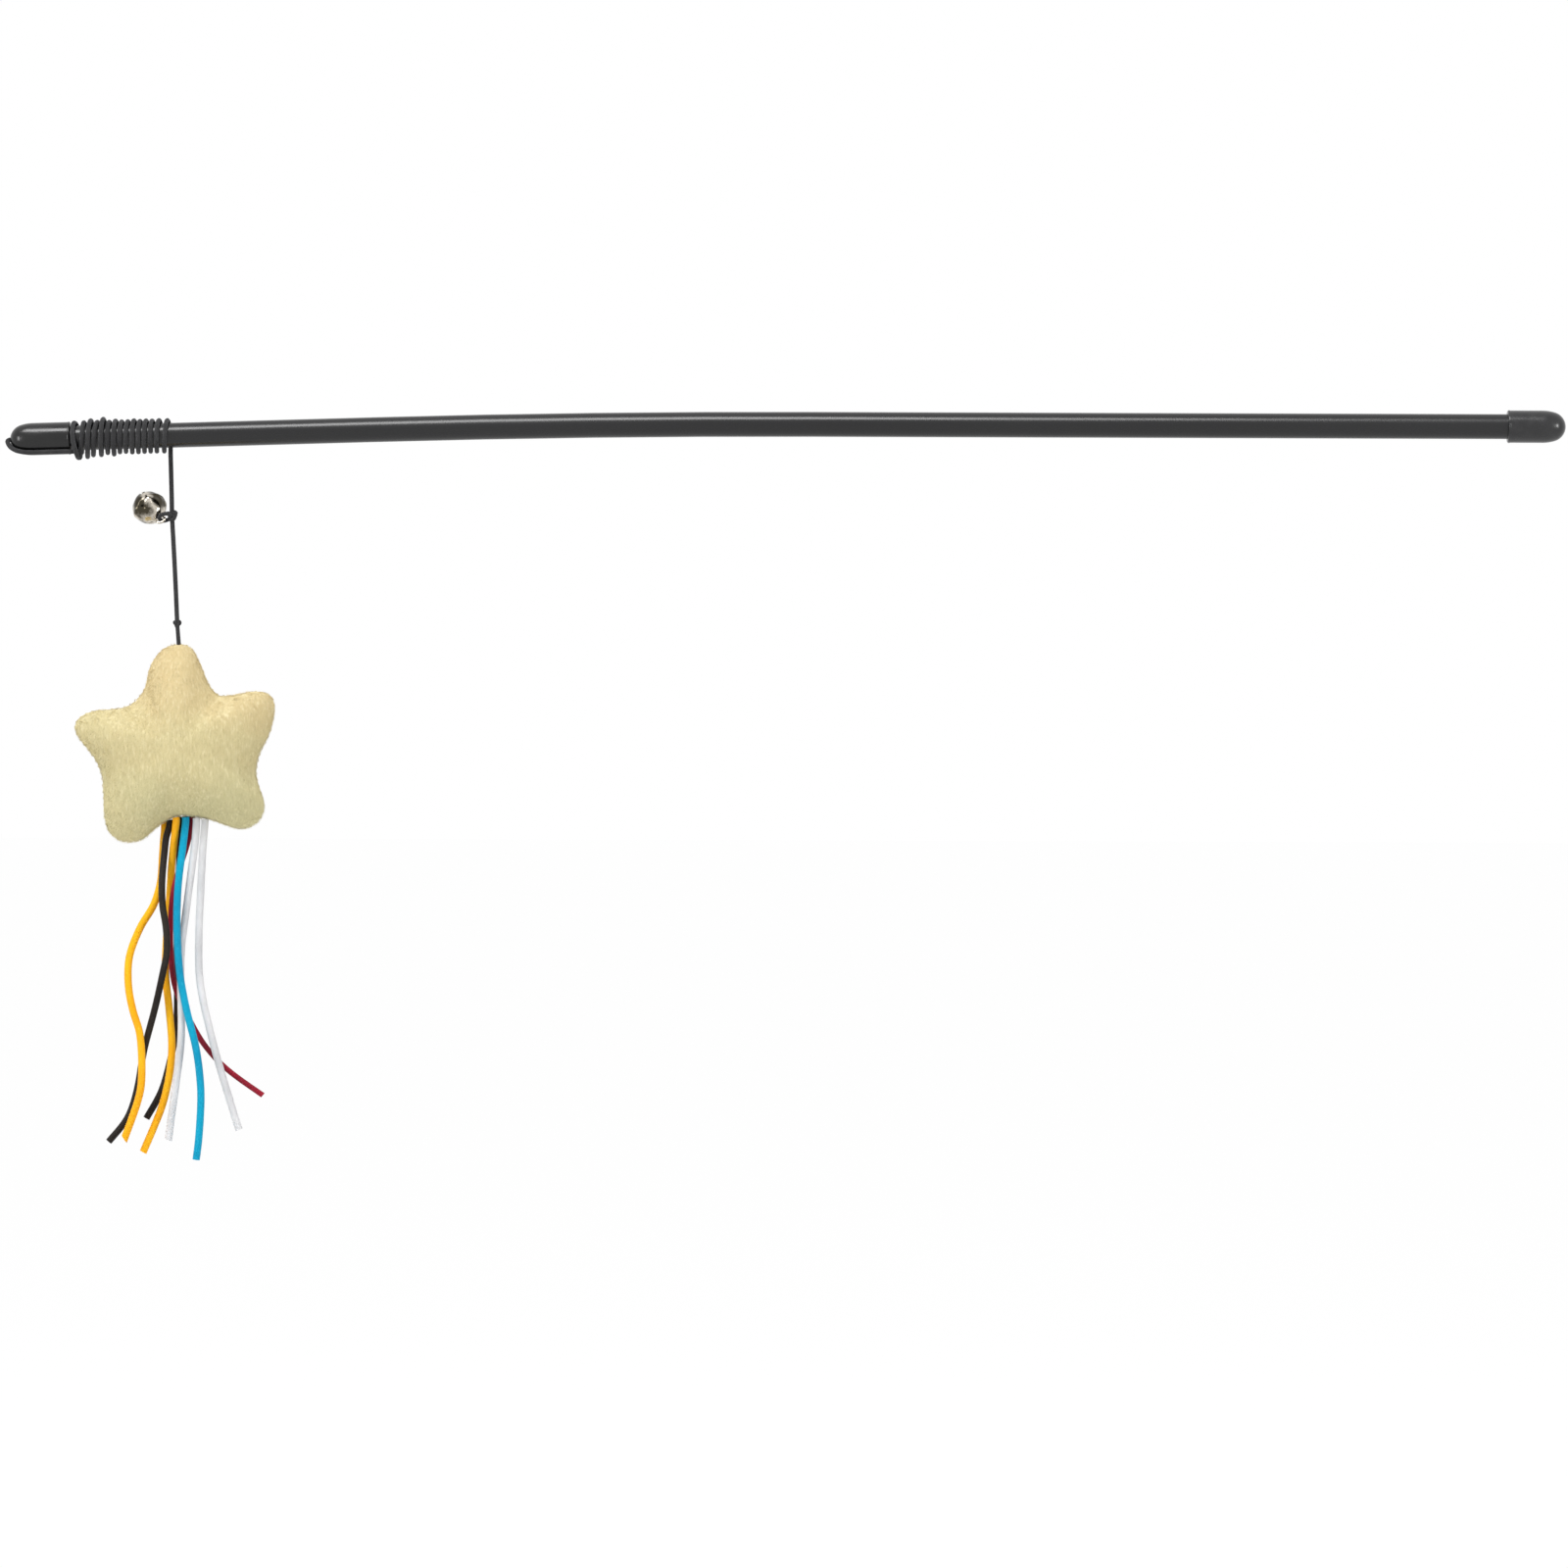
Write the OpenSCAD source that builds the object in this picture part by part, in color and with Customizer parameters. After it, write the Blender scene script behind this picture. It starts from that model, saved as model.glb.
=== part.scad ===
// Cat teaser wand: a capped hollow rod, an elastic line wound round its tip,
// and a jingle bell and a stuffed star with a tassel that hang from the line.
// The origin is on the rod's axis, in the middle of the butt cap's straight wall.
// +X points out of the handle end, +Z is up, and the line hangs behind the rod, at +Y.

/* [Rod] */
// Length of the rod with its caps, along its axis
wand_len = 499; // [450:1:700]
// Outer diameter of the rod
rod_d = 8; // [7:0.1:10]
// Wall of the hollow rod
rod_wall = 1; // [0.7:0.1:1.8]
// Length from the origin to where the rod begins to bend
straight_len = 228.8; // [180:0.1:260]
// Length of the bent stretch
bend_len = 141.5; // [100:0.5:160]
// Angle of the bend
bend_deg = 1.776; // [0.8:0.001:2.4]

/* [Caps] */
// Wall of both caps
cap_wall = 1.2; // [0.8:0.1:2]
// Length of the butt cap's straight wall
butt_wall_len = 10.2; // [8:0.1:20]
// Length of the tip cap with its nose
tip_cap_len = 19.5; // [15:0.5:26]
// Length of the shoulder between a cap's wall and its nose
shoulder_len = 2.6; // [1.6:0.1:4]
// How much narrower the nose's round is than the cap
nose_step = 0.4; // [0.2:0.05:0.8]
// Width of the rolled lip round a cap's mouth
lip_w = 1.1; // [0.6:0.1:1.8]
// Height of the lip over the cap's wall
lip_rise = 0.1; // [0.05:0.05:0.3]
// Clearance between a cap's bore and the rod
cap_fit = 0.02; // [0.01:0.01:0.08]

/* [Line] */
// Diameter of the elastic line
cord_d = 1.5; // [1:0.05:1.6]
// Whole turns of the winding
wind_turns = 13; // [8:1:20]
// Distance from one turn to the next
wind_pitch = 2.06; // [2.02:0.02:3]
// Clearance between the line and what it lies on
lay_gap = 0.1; // [0.05:0.01:0.3]
// Clearance round the line in the tip cap's hole
hole_gap = 0.1; // [0.05:0.01:0.3]
// Drop from the winding's last turn to where the line swings
tail_drop = 5.55; // [4:0.05:12]
// Clearance between two pieces that turn on each other
turn_gap = 0.1; // [0.05:0.01:0.2]
// Diameter of the knot inside the tip cap
anchor_knot_d = 3.8; // [3:0.1:5]
// Diameter of the knot that carries the bell
bell_knot_d = 3.4; // [2.6:0.1:4]
// Diameter of the knot over the star
star_knot_d = 2.6; // [2.2:0.1:4]

/* [Bell] */
// Outer diameter of the bell
bell_d = 11.1; // [9:0.1:12]
// Thickness of the bell's sheet
bell_wall = 0.4; // [0.3:0.05:0.8]
// Width of the crossed sound slots
slot_w = 1; // [0.6:0.1:1.6]
// Diameter of the round end of each slot
slot_end_d = 1.7; // [1.6:0.1:2.4]
// Reach of the slots, as an angle from the bell's pole
slot_deg = 64; // [40:1:72]
// Thickness of the eye's wire
eye_wire = 0.8; // [0.5:0.1:0.9]
// Distance between the middles of the eye's legs
eye_span = 2.9; // [2.8:0.1:3.6]
// Height of the eye over the crown
eye_height = 3.45; // [3:0.05:4.5]
// Thickness of the loop that carries the bell
bell_loop_d = 1.3; // [0.8:0.1:1.5]
// Distance from the eye's hole to the middle of the bell's knot
bell_reach = 4.12; // [3.9:0.02:5]
// Diameter of the loose pellet
pellet_d = 3.2; // [2:0.1:5]

/* [Star] */
// Longest reach of the star's arms from its middle
star_r = 35.2; // [30:0.1:45]
// Half of the star's thickness at its crown
star_half = 10.5; // [7:0.1:15]
// Thickness of the plush cover
cloth = 1; // [0.6:0.1:1.4]
// Clearance between the cover and its filling
fill_gap = 0.2; // [0.1:0.05:0.4]
// Length of the loop between the knot and the star
star_loop_len = 6.3; // [5:0.1:12]
// Thickness of each leg of that loop
star_loop_d = 1.3; // [0.8:0.1:1.4]
// Distance between the loop's legs where they enter the star
star_loop_span = 1.6; // [1.5:0.1:3]

/* [Tassel] */
// Diameter of the yellow, blue and white strands
strand_d = 2.4; // [2:0.1:2.8]
// Diameter of the black strands
black_d = 2.2; // [1.8:0.1:2.5]
// Diameter of the red strand
red_d = 1.8; // [1.5:0.1:2.2]
// Clearance between neighbouring roots
root_gap = 0.3; // [0.25:0.05:0.6]
// Distance of each row of roots from the seam
root_row = 1.3; // [1.2:0.05:2]
// Clearance between a root and the star's seam
seat_gap = 0.45; // [0.3:0.05:0.9]

/* [Hidden] */
$fn = 64;
overrun = 1;

// Rod and caps
rod_r = rod_d / 2;
bore_r = rod_r + cap_fit;
cap_r = rod_r + cap_wall;
lip_r = cap_r + lip_rise;
nose_r = cap_r - nose_step;
dome_len = nose_r + shoulder_len;
shoulder_r = (shoulder_len ^ 2 + cap_r ^ 2 - nose_r ^ 2) / (2 * (cap_r - nose_r));
// Where the nose's round runs into the shoulder's
nose_end = nose_r * (1 - shoulder_len / (shoulder_r - nose_r));
// From a cap's nose to the rod's end, where the bore's dome begins
rod_seat = cap_wall + bore_r;
butt_end = butt_wall_len / 2 + dome_len;
bend_r = bend_len / bend_deg * 180 / PI;
bend_steps = 12;
// The tip's tube is a hair thinner than the bend's wall, and enters it a little
seam_step = 0.01;
seam_len = rod_wall / 2;
tip_len = wand_len - butt_end - straight_len - bend_len;

// Line on the cap and on the rod: distances of its middle from the axis
cord_r = cord_d / 2;
on_nose = nose_r + cord_r + lay_gap;
on_cap = cap_r + cord_r + lay_gap;
on_lip = lip_r + cord_r + lay_gap;
on_rod = rod_r + cord_r + lay_gap;
hole_r = cord_r + hole_gap;
anchor_at = cap_wall + anchor_knot_d / 2;
cord_sides = 6;
turn_rings = 20;
// Angle about the axis at which the line comes back over the cap; 0 is the front, 90 the top
run_deg = -47;
// The half hitch behind the cap: places from its rim and over the rod, as shares of cord_d,
// and the angle about the axis
hitch_shares = [
    [0.25, 0.85, -48], [0.65, 0.46, -53], [1.05, 0.08, -61], [1.70, 0.00, -72], [2.12, 0.00, -95],
    [2.10, 0.00, -125], [1.80, 0.00, -180], [1.20, 0.00, -235], [0.75, 0.00, -280], [0.64, 0.15, -325],
    [0.70, 0.80, -362], [1.10, 1.55, -390], [1.45, 1.65, -412], [1.60, 1.38, -429], [1.98, 1.32, -430],
    [2.20, 0.90, -412], [2.40, 0.35, -388], [2.62, 0.12, -355], [2.75, 0.05, -315]
];
// The turns' slack, a half turn at a time from the first bottom: how far they lie from even
// spacing, as a share of wind_pitch, and how far they stand off the rod, as a share of cord_d
slack_shares = [
    [-0.08, 0.90], [0.07, 0.40], [-0.17, 0.55], [0.10, 0.05], [0.07, 0.55], [0.02, 0.65], [0.08, 0.15],
    [-0.05, 0.00], [0.05, 0.50], [-0.08, 0.20], [-0.03, 0.05], [-0.13, 0.00], [-0.09, 0.00],
    [-0.16, 0.00], [-0.10, 0.15], [-0.21, 0.15], [-0.14, 0.15], [-0.27, 0.00], [-0.20, 0.10],
    [-0.33, 0.05], [-0.24, 0.10], [-0.38, 0.00], [-0.28, 0.10], [-0.31, 0.05], [-0.12, 0.15]
];
first_top = tip_cap_len + 2.87 * cord_d;
tail_at = first_top + wind_pitch * (wind_turns + 0.25);

// Places of the hanging pieces
line_y = on_rod;
nose_at = [-straight_len - bend_r * sin(bend_deg) - tip_len * cos(bend_deg), 0,
           bend_r * (cos(bend_deg) - 1) - tip_len * sin(bend_deg)];
swing_at = nose_at + [tail_at * cos(bend_deg), line_y, tail_at * sin(bend_deg) - tail_drop];
upper_route = [[0, 0, 0], [0.2, 0, -7], [0.4, 0, -14], [0.5, 0, -20]];
bell_knot_at = swing_at + upper_route[3];
lower_route = [[0, 0, 0], [0.7, 0, -12], [1.3, 0, -23.5], [1.8, 0, -34.7]];
star_knot_at = bell_knot_at + lower_route[3];
star_top_at = star_knot_at + star_loop_len * [0.08, 0, -1];

// Bell: its eye points down, forwards and to the knot
bell_r = bell_d / 2;
bell_inner_r = bell_r - bell_wall;
eye_hole = bell_r + bell_loop_d / 2 + bell_wall;
bell_tip_deg = 123;
bell_head_deg = -50;
bell_spin_deg = 36;
loop_lean_deg = 113.4;
// Radius of the loop's ring, as a share of its reach
bell_loop_r = 0.425 * bell_reach;
pellet_drop = bell_inner_r - pellet_d / 2 - turn_gap;

// Star outline: the angle, and the reach there as a share of star_r
outline_shares = [
    [0, 0.785], [9, 0.86], [19, 0.945], [27, 1.0], [32, 0.98], [37, 0.90], [42, 0.77], [49, 0.665],
    [56, 0.64], [66, 0.695], [76, 0.84], [82, 0.945], [89, 0.975], [98, 0.93], [107, 0.815],
    [117, 0.645], [129, 0.60], [140, 0.62], [150, 0.74], [157, 0.88], [165, 0.96], [172, 0.92],
    [181, 0.805], [191, 0.74], [202, 0.74], [214, 0.81], [226, 0.935], [234, 0.985], [242, 0.96],
    [249, 0.88], [256, 0.735], [267, 0.635], [279, 0.625], [295, 0.71], [303, 0.82], [309, 0.93],
    [315, 0.985], [322, 0.995], [329, 0.94], [337, 0.825], [345, 0.765], [357, 0.77]
];
top_share = [cos(89), 0, sin(89)] * 0.975;
// Rings from the crown to the seam, as shares of the reach
ring_shares = [0.16, 0.38, 0.6, 0.78, 0.9, 0.97, 1];
star_at = star_top_at - star_r * top_share;
// The star's bottom seam: across and up from its middle, as shares of star_r
bottom_shares = [
    for (p = outline_shares)
        if (p[0] > 240 && p[0] < 320) p[1] * [cos(p[0]), sin(p[0])]
];

// Tassel: places across the seam, left to right, as shares of the spacing from the star's middle
strand_step = strand_d + root_gap;
yellow_left_share = -1.455;
black_left_share = -0.8;
yellow_right_share = 0;
black_rear_share = 0.385;
blue_share = 1.152;
red_share = 1.804;
white_left_share = 2.435;
white_right_share = 3.435;
// Rows of the two left strands, as shares of the spacing of rows
yellow_left_row = 1.8;
black_left_row = 0.3;

// Routes of the strands, each from its own root
yellow_left_route = [
    [0, 0, 0], [-0.4, 0.8, -4], [-0.7, 0.6, -9], [-1.2, -0.5, -17], [-3.4, -1.1, -24.5],
    [-7.7, -2.1, -32], [-10.9, -3.3, -41], [-11.1, -4.6, -50], [-9.6, -5.6, -58], [-7.2, -6.3, -66],
    [-6.5, -6.9, -77], [-7.4, -6.9, -86], [-12.1, -6.4, -99.5]
];
black_left_route = [
    [0, 0, 0], [-1, -0.3, -3.5], [-1.5, -1, -8], [-2.1, -3.8, -18], [-1.8, -4.8, -25.5],
    [-0.6, -5.2, -33], [-0.4, -5.2, -40.5], [-1.7, -5, -47.5], [-4.2, -3.8, -58.5], [-7.8, -2, -72],
    [-10.1, -1.7, -85], [-13.2, -1.7, -94], [-19.1, -1.7, -101.5]
];
yellow_right_route = [
    [0, 0, 0], [-1.3, 1.5, -11.5], [-1.8, 1.9, -19], [-2.3, 2, -27], [-3.1, 1.5, -38],
    [-3.3, 1.5, -48.5], [-2.1, 1.5, -59.5], [-1.2, 1.5, -70.5], [-1.6, 1.5, -78], [-2.9, 1.5, -85.5],
    [-5.1, 1.5, -93], [-10.3, 1.5, -105.5]
];
black_rear_route = [
    [0, 0, 0], [-0.2, 1.5, -12], [-0.6, 2, -20], [-1, 2, -34], [-0.8, 2, -49], [-0.9, 2, -63],
    [-1.7, 2, -70], [-2.8, 2, -75.5], [-5.7, 2, -86], [-10.6, 2, -95]
];
blue_route = [
    [0, 0, 0], [-0.8, -1.5, -8], [-2, -3.2, -19], [-2.4, -4, -29], [-2.2, -4, -38], [-1.3, -4, -49],
    [0.8, -4, -60], [3.6, -4, -71], [5, -4, -80], [5.5, -4, -89], [4.9, -4, -100.5], [4, -3.5, -108]
];
red_route = [
    [0, 0, 0], [-1.3, -1, -7], [-5.1, -3.5, -20], [-6.3, -3.5, -30], [-6.3, -3.5, -42],
    [-4.8, -0.5, -54], [1.2, -0.5, -66.5], [6.3, -0.5, -74], [12.8, -0.5, -80.3], [23.2, -0.5, -87.7]
];
white_left_route = [
    [0, 0, 0], [-0.6, -0.5, -8], [-2, -1, -19], [-3.4, -1, -30], [-4.6, -1, -40], [-4.8, -1, -50],
    [-4.5, -1, -63.5], [-4.8, -1, -72], [-5.9, -1, -81], [-7.5, -1, -93], [-8.6, -1, -101.5]
];
white_right_route = [
    [0, 0, 0], [-0.6, -0.2, -8], [-1.2, -0.5, -21], [-1.7, -1, -35], [-1.6, -1, -47],
    [-0.3, -1.5, -56], [1.9, -1.5, -65.5], [4.4, -1.5, -75], [7.7, -1.5, -86], [11.4, -1.5, -97.8]
];

function unit(v) = v / norm(v);

// Direction of a path at one of its points
function heading(path, i) = unit(path[min(i + 1, len(path) - 1)] - path[max(i - 1, 0)]);

function square_to(v) = unit(cross(v, abs(v.y) < 0.9 ? [0, 1, 0] : [1, 0, 0]));

// A side direction for each point, carried along the path without twist
function path_sides(path) = [
    for (i = 0, u = square_to(heading(path, 0)); i < len(path);
         i = i + 1, u = i < len(path) ? unit(u - (u * heading(path, i)) * heading(path, i)) : u)
        u
];

function path_rings(path, radii, sides) =
    let (u = path_sides(path))
    [
        for (i = [0 : len(path) - 1])
            let (w = cross(heading(path, i), u[i]))
            [for (k = [0 : sides - 1])
                path[i] + radii[i] * (cos(360 * k / sides) * u[i] + sin(360 * k / sides) * w)]
    ];

// A closed skin from one end point through rings of points to the other end point
module skin(rings, start, end) {
    n = len(rings[0]);
    last = len(rings) * n + 1;
    points = concat([start], [for (ring = rings) each ring], [end]);
    faces = concat(
        [for (k = [0 : n - 1]) [0, 1 + k, 1 + (k + 1) % n]],
        [
            for (i = [0 : len(rings) - 2])
                for (k = [0 : n - 1])
                    let (a = 1 + i * n + k, b = 1 + i * n + (k + 1) % n)
                    each [[a, a + n, b + n], [a, b + n, b]]
        ],
        [for (k = [0 : n - 1]) [last, last - n + (k + 1) % n, last - n + k]]
    );
    polyhedron(points, faces, convexity = 10);
}

// A flat-ended cord along a path
module cord(path, d, sides = 8) {
    radii = [for (p = path) d / 2];
    skin(path_rings(path, radii, sides), path[0], path[len(path) - 1]);
}

// A cord whose first point is the middle of its round end
module round_top_cord(path, d, sides = 8) {
    up = -heading(path, 0) * d / 2;
    // The round end has one ring between its top and its full width
    radii = concat([0.66 * d / 2], [for (p = path) d / 2]);
    rings = path_rings(concat([path[0] + 0.75 * up], path), radii, sides);
    skin(rings, path[0] + up, path[len(path) - 1]);
}

// A straight round bar between two points
module bar(from, to, d) {
    v = to - from;
    translate(from)
        rotate([0, acos(v.z / norm(v)), atan2(v.y, v.x)])
            cylinder(d = d, h = norm(v));
}

// The tip's own frame: its nose at the origin, +X along the axis towards the handle
module tip_frame() {
    translate(nose_at)
        rotate([0, -bend_deg, 0])
            children();
}

// Section of the rod, its wall drawn in a little on both sides
module rod_ring(inset = 0) {
    difference() {
        circle(rod_r - inset);
        circle(rod_r - rod_wall + inset);
    }
}

// Half section of a cap, its nose at the origin and its mouth at the given length
module cap_half(length) {
    difference() {
        union() {
            intersection() {
                translate([0, nose_r]) circle(nose_r);
                square([cap_r, nose_end]);
            }
            intersection() {
                translate([cap_r - shoulder_r, dome_len]) circle(shoulder_r);
                translate([0, nose_end]) square([cap_r, dome_len - nose_end]);
            }
            translate([0, dome_len]) square([cap_r, length - dome_len - lip_w / 2]);
            translate([lip_r - lip_w / 2, length - lip_w / 2]) circle(lip_w / 2);
            translate([0, dome_len]) square([lip_r - lip_w / 2, length - dome_len]);
        }
        translate([0, rod_seat]) circle(bore_r);
        translate([0, rod_seat]) square([bore_r, length]);
    }
}

// Distances along the tip, from the axis, and about the axis, turned into a place
function wrap_place(w) = [w[0], -w[1] * cos(w[2]), w[1] * sin(w[2])];

function between(a, b, c, d, f) =
    (2 * b + (c - a) * f + (2 * a - 5 * b + 4 * c - d) * f ^ 2 + (3 * b - a - 3 * c + d) * f ^ 3) / 2;

// Rings between two knots of the wrap: few where it runs straight
function wrap_steps(a, b) =
    let (straight = a[1] == b[1] && a[2] == b[2])
    ceil(norm([b[0] - a[0], b[1] - a[1], (a[1] + b[1]) * PI / 360 * (b[2] - a[2])])
         / cord_d / (straight ? 2 : 0.8));

function smooth_wrap(knots) = [
    for (i = [0 : len(knots) - 2])
        for (j = [0 : wrap_steps(knots[i], knots[i + 1]) - 1])
            between(knots[max(i - 1, 0)], knots[i], knots[i + 1], knots[min(i + 2, len(knots) - 1)],
                    j / wrap_steps(knots[i], knots[i + 1]))
];

// Slack of a half turn; the first and the last lie even
function slack(n) = n < 1 || n >= 2 * wind_turns ? [0, 0] : slack_shares[(n - 1) % len(slack_shares)];

// Place of a half turn along the rod, as a share of wind_pitch
function turn_at(n) = n / 2 + slack(n)[0];

// The wound line, from the knot inside the cap to its end above the swing
winding_start = [
    [cap_wall + 0.4 * cord_d, 0, run_deg],
    [0, 0, run_deg],
    for (a = [30 : 30 : 90]) [-hole_r * sin(a), hole_r * (1 - cos(a)), run_deg],
    for (a = [24 : 17 : 75]) [nose_r - on_nose * cos(a), on_nose * sin(a), run_deg],
    [dome_len - shoulder_len / 3, on_cap, run_deg],
    [tip_cap_len - 2 * lip_w, on_cap, run_deg],
    [tip_cap_len - lip_w / 2, on_lip, run_deg],
    for (h = hitch_shares) [tip_cap_len + h[0] * cord_d, on_rod + h[1] * cord_d, h[2]],
    [first_top, on_rod, -270]
];
winding_turns = [
    for (i = [0 : turn_rings * (wind_turns + 0.25)])
        let (h = 2 * i / turn_rings, n = floor(h), f = h - n)
        [
            first_top + wind_pitch * between(turn_at(n - 1), turn_at(n), turn_at(n + 1), turn_at(n + 2), f),
            on_rod + cord_d * (slack(n)[1] + (slack(n + 1)[1] - slack(n)[1]) * f ^ 2 * (3 - 2 * f)),
            -270 + 180 * h
        ]
];
winding_tail = [
    for (share = [0.3, 0.6, 1])
        let (drop = share * (tail_drop - cord_r - turn_gap))
        [tail_at - drop * sin(bend_deg), line_y, -drop * cos(bend_deg)]
];
winding_path = concat(
    [for (w = smooth_wrap(winding_start)) wrap_place(w)],
    [for (w = winding_turns) wrap_place(w)],
    winding_tail
);

// Least gap of a wound path to itself, between points that are not neighbours
function least_gap(path, d, apart) = min([
    for (i = [0 : len(path) - 1 - apart])
        for (j = [i + apart : len(path) - 1])
            norm(path[i] - path[j])
]) - d;

// Frame of the bell's loop: origin in the eye's hole, -Z towards the knot
module loop_frame() {
    translate(bell_knot_at)
        rotate([0, bell_tip_deg, bell_head_deg])
            rotate([0, 0, bell_spin_deg])
                rotate([loop_lean_deg, 0, 0])
                    translate([0, 0, bell_reach])
                        children();
}

// Frame of the bell: origin in its middle, +Z out of its crown and eye
module bell_frame() {
    loop_frame()
        rotate([-loop_lean_deg, 0, 0])
            translate([0, 0, -eye_hole])
                children();
}

// Height of the cover at a share of the reach, as a share of the crown's height
function puff(share) = (1 - share ^ 2.2) ^ 0.62;

// One ring round the star, drawn in from the cover by a given thickness
function star_ring(share, inset, side) = [
    for (p = outline_shares)
        let (reach = share * p[1] * (star_r - inset))
        [reach * cos(p[0]), side * puff(share) * (star_half - inset), reach * sin(p[0])]
];

// Half of the plush cover, on the +Y side of the seam
module star_half_cover() {
    shares = ring_shares;
    outer = [for (s = shares) star_ring(s, 0, 1)];
    inner = [for (i = [len(shares) - 1 : -1 : 0]) star_ring(shares[i], cloth, 1)];
    skin(concat(outer, inner), [0, star_half, 0], [0, star_half - cloth, 0]);
}

// Middle of a strand's root under the star's bottom seam; row is -1 in front, 1 behind
function root_at(share, row, d) =
    let (x = share * strand_step)
    star_at + [x, row * root_row, star_r * lookup(x / star_r, bottom_shares) - d / 2 - seat_gap];

module strand(share, row, d, route) {
    root = root_at(share, row, d);
    round_top_cord([for (p = route) root + p], d);
}

module rod() {
    color("dimgray") {
        translate([-straight_len, 0, 0])
            rotate([0, 90, 0])
                linear_extrude(straight_len + butt_end - rod_seat) rod_ring();
        translate([-straight_len, 0, -bend_r])
            rotate([90, 0, 0])
                rotate_extrude(angle = bend_deg, start = 90, $fn = round(360 / bend_deg) * bend_steps)
                    translate([bend_r, 0]) rod_ring($fn = 64);
        tip_frame()
            translate([rod_seat, 0, 0])
                rotate([0, 90, 0])
                    linear_extrude(tip_len - rod_seat + seam_len) rod_ring(seam_step);
    }
}

module tip_cap() {
    color("black")
        tip_frame()
            rotate([0, 90, 0])
                difference() {
                    rotate_extrude() cap_half(tip_cap_len);
                    translate([0, 0, -overrun]) cylinder(r = hole_r, h = cap_wall + 2 * overrun);
                }
}

module butt_cap() {
    color("darkslategray")
        translate([butt_end, 0, 0])
            rotate([0, -90, 0])
                rotate_extrude() cap_half(dome_len + butt_wall_len + lip_w);
}

module anchor_knot() {
    color("gray")
        tip_frame()
            translate([anchor_at, 0, 0]) sphere(d = anchor_knot_d);
}

module line_winding() {
    echo(least_winding_gap = least_gap(winding_path, cord_d, 8), rings = len(winding_path));
    color("gray")
        tip_frame() cord(winding_path, cord_d, cord_sides);
}

module line_upper() {
    color("gray")
        round_top_cord([for (p = upper_route) swing_at + p], cord_d);
}

module bell_knot() {
    color("gray")
        translate(bell_knot_at) sphere(d = bell_knot_d);
}

module bell_loop() {
    color("gray")
        difference() {
            loop_frame()
                translate([0, 0, -bell_loop_r])
                    rotate([90, 0, 0])
                        rotate_extrude() translate([bell_loop_r, 0]) circle(d = bell_loop_d);
            translate(bell_knot_at) sphere(d = bell_knot_d);
        }
}

module bell_shell() {
    color("silver")
        bell_frame()
            difference() {
                sphere(bell_r);
                sphere(bell_inner_r);
                for (turn = [0, 90])
                    rotate([0, 0, turn])
                        translate([-bell_r - overrun, -slot_w / 2, -bell_r - overrun])
                            cube([bell_d + 2 * overrun, slot_w, bell_r * (1 - cos(slot_deg)) + overrun]);
                for (turn = [0 : 90 : 270])
                    rotate([0, 180 - slot_deg, turn])
                        cylinder(d = slot_end_d, h = bell_r + overrun);
            }
}

module bell_eye() {
    bend_at = bell_r + eye_height - eye_wire / 2 - eye_span / 2;
    // The legs end halfway through the bell's sheet
    foot_at = sqrt((bell_r - bell_wall / 2) ^ 2 - (eye_span / 2) ^ 2);
    color("silver")
        bell_frame() {
            for (side = [-1, 1])
                translate([0, side * eye_span / 2, foot_at])
                    cylinder(d = eye_wire, h = bend_at - foot_at);
            translate([0, 0, bend_at])
                rotate([90, 0, 90])
                    rotate_extrude(angle = 180)
                        translate([eye_span / 2, 0]) circle(d = eye_wire);
        }
}

module bell_pellet() {
    color("lightgray")
        bell_frame()
            rotate([0, 0, -bell_spin_deg])
                rotate([0, -bell_tip_deg, 0])
                    rotate([0, 0, -bell_head_deg])
                        translate([0, 0, -pellet_drop]) sphere(d = pellet_d);
}

module line_lower() {
    top = unit(lower_route[1]) * (bell_knot_d / 2 + turn_gap);
    color("gray")
        cord([for (p = concat([top], [for (i = [1 : 3]) lower_route[i]])) bell_knot_at + p], cord_d);
}

module star_knot() {
    color("gray")
        translate(star_knot_at) sphere(d = star_knot_d);
}

module star_loop() {
    down = unit(star_top_at - star_knot_at);
    color("gray")
        for (side = [-1, 1])
            bar(star_knot_at + down * (star_knot_d / 2 + turn_gap) + [0, side * star_loop_d / 4, 0],
                star_top_at + down * 0.8 * cloth + [0, side * star_loop_span / 2, 0],
                star_loop_d);
}

module star_front() {
    color("wheat")
        translate(star_at) mirror([0, 1, 0]) star_half_cover();
}

module star_back() {
    color("wheat")
        translate(star_at) star_half_cover();
}

module star_filling() {
    inset = cloth + fill_gap;
    back = [for (i = [0 : 2 : len(ring_shares) - 1]) star_ring(ring_shares[i], inset, 1)];
    front = [for (i = [len(ring_shares) - 3 : -2 : 0]) star_ring(ring_shares[i], inset, -1)];
    color("white")
        translate(star_at)
            skin(concat(back, front), [0, star_half - inset, 0], [0, inset - star_half, 0]);
}

module yellow_strand_left() {
    color("orange") strand(yellow_left_share, yellow_left_row, strand_d, yellow_left_route);
}

module black_strand_left() {
    color("darkslategray") strand(black_left_share, black_left_row, black_d, black_left_route);
}

module yellow_strand_right() {
    color("orange") strand(yellow_right_share, -1, strand_d, yellow_right_route);
}

module black_strand_rear() {
    color("darkslategray") strand(black_rear_share, 1, black_d, black_rear_route);
}

module blue_strand() {
    color("deepskyblue") strand(blue_share, -1, strand_d, blue_route);
}

module red_strand() {
    color("crimson") strand(red_share, 1, red_d, red_route);
}

module white_strand_left() {
    color("whitesmoke") strand(white_left_share, -1, strand_d, white_left_route);
}

module white_strand_right() {
    color("whitesmoke") strand(white_right_share, -1, strand_d, white_right_route);
}

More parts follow.
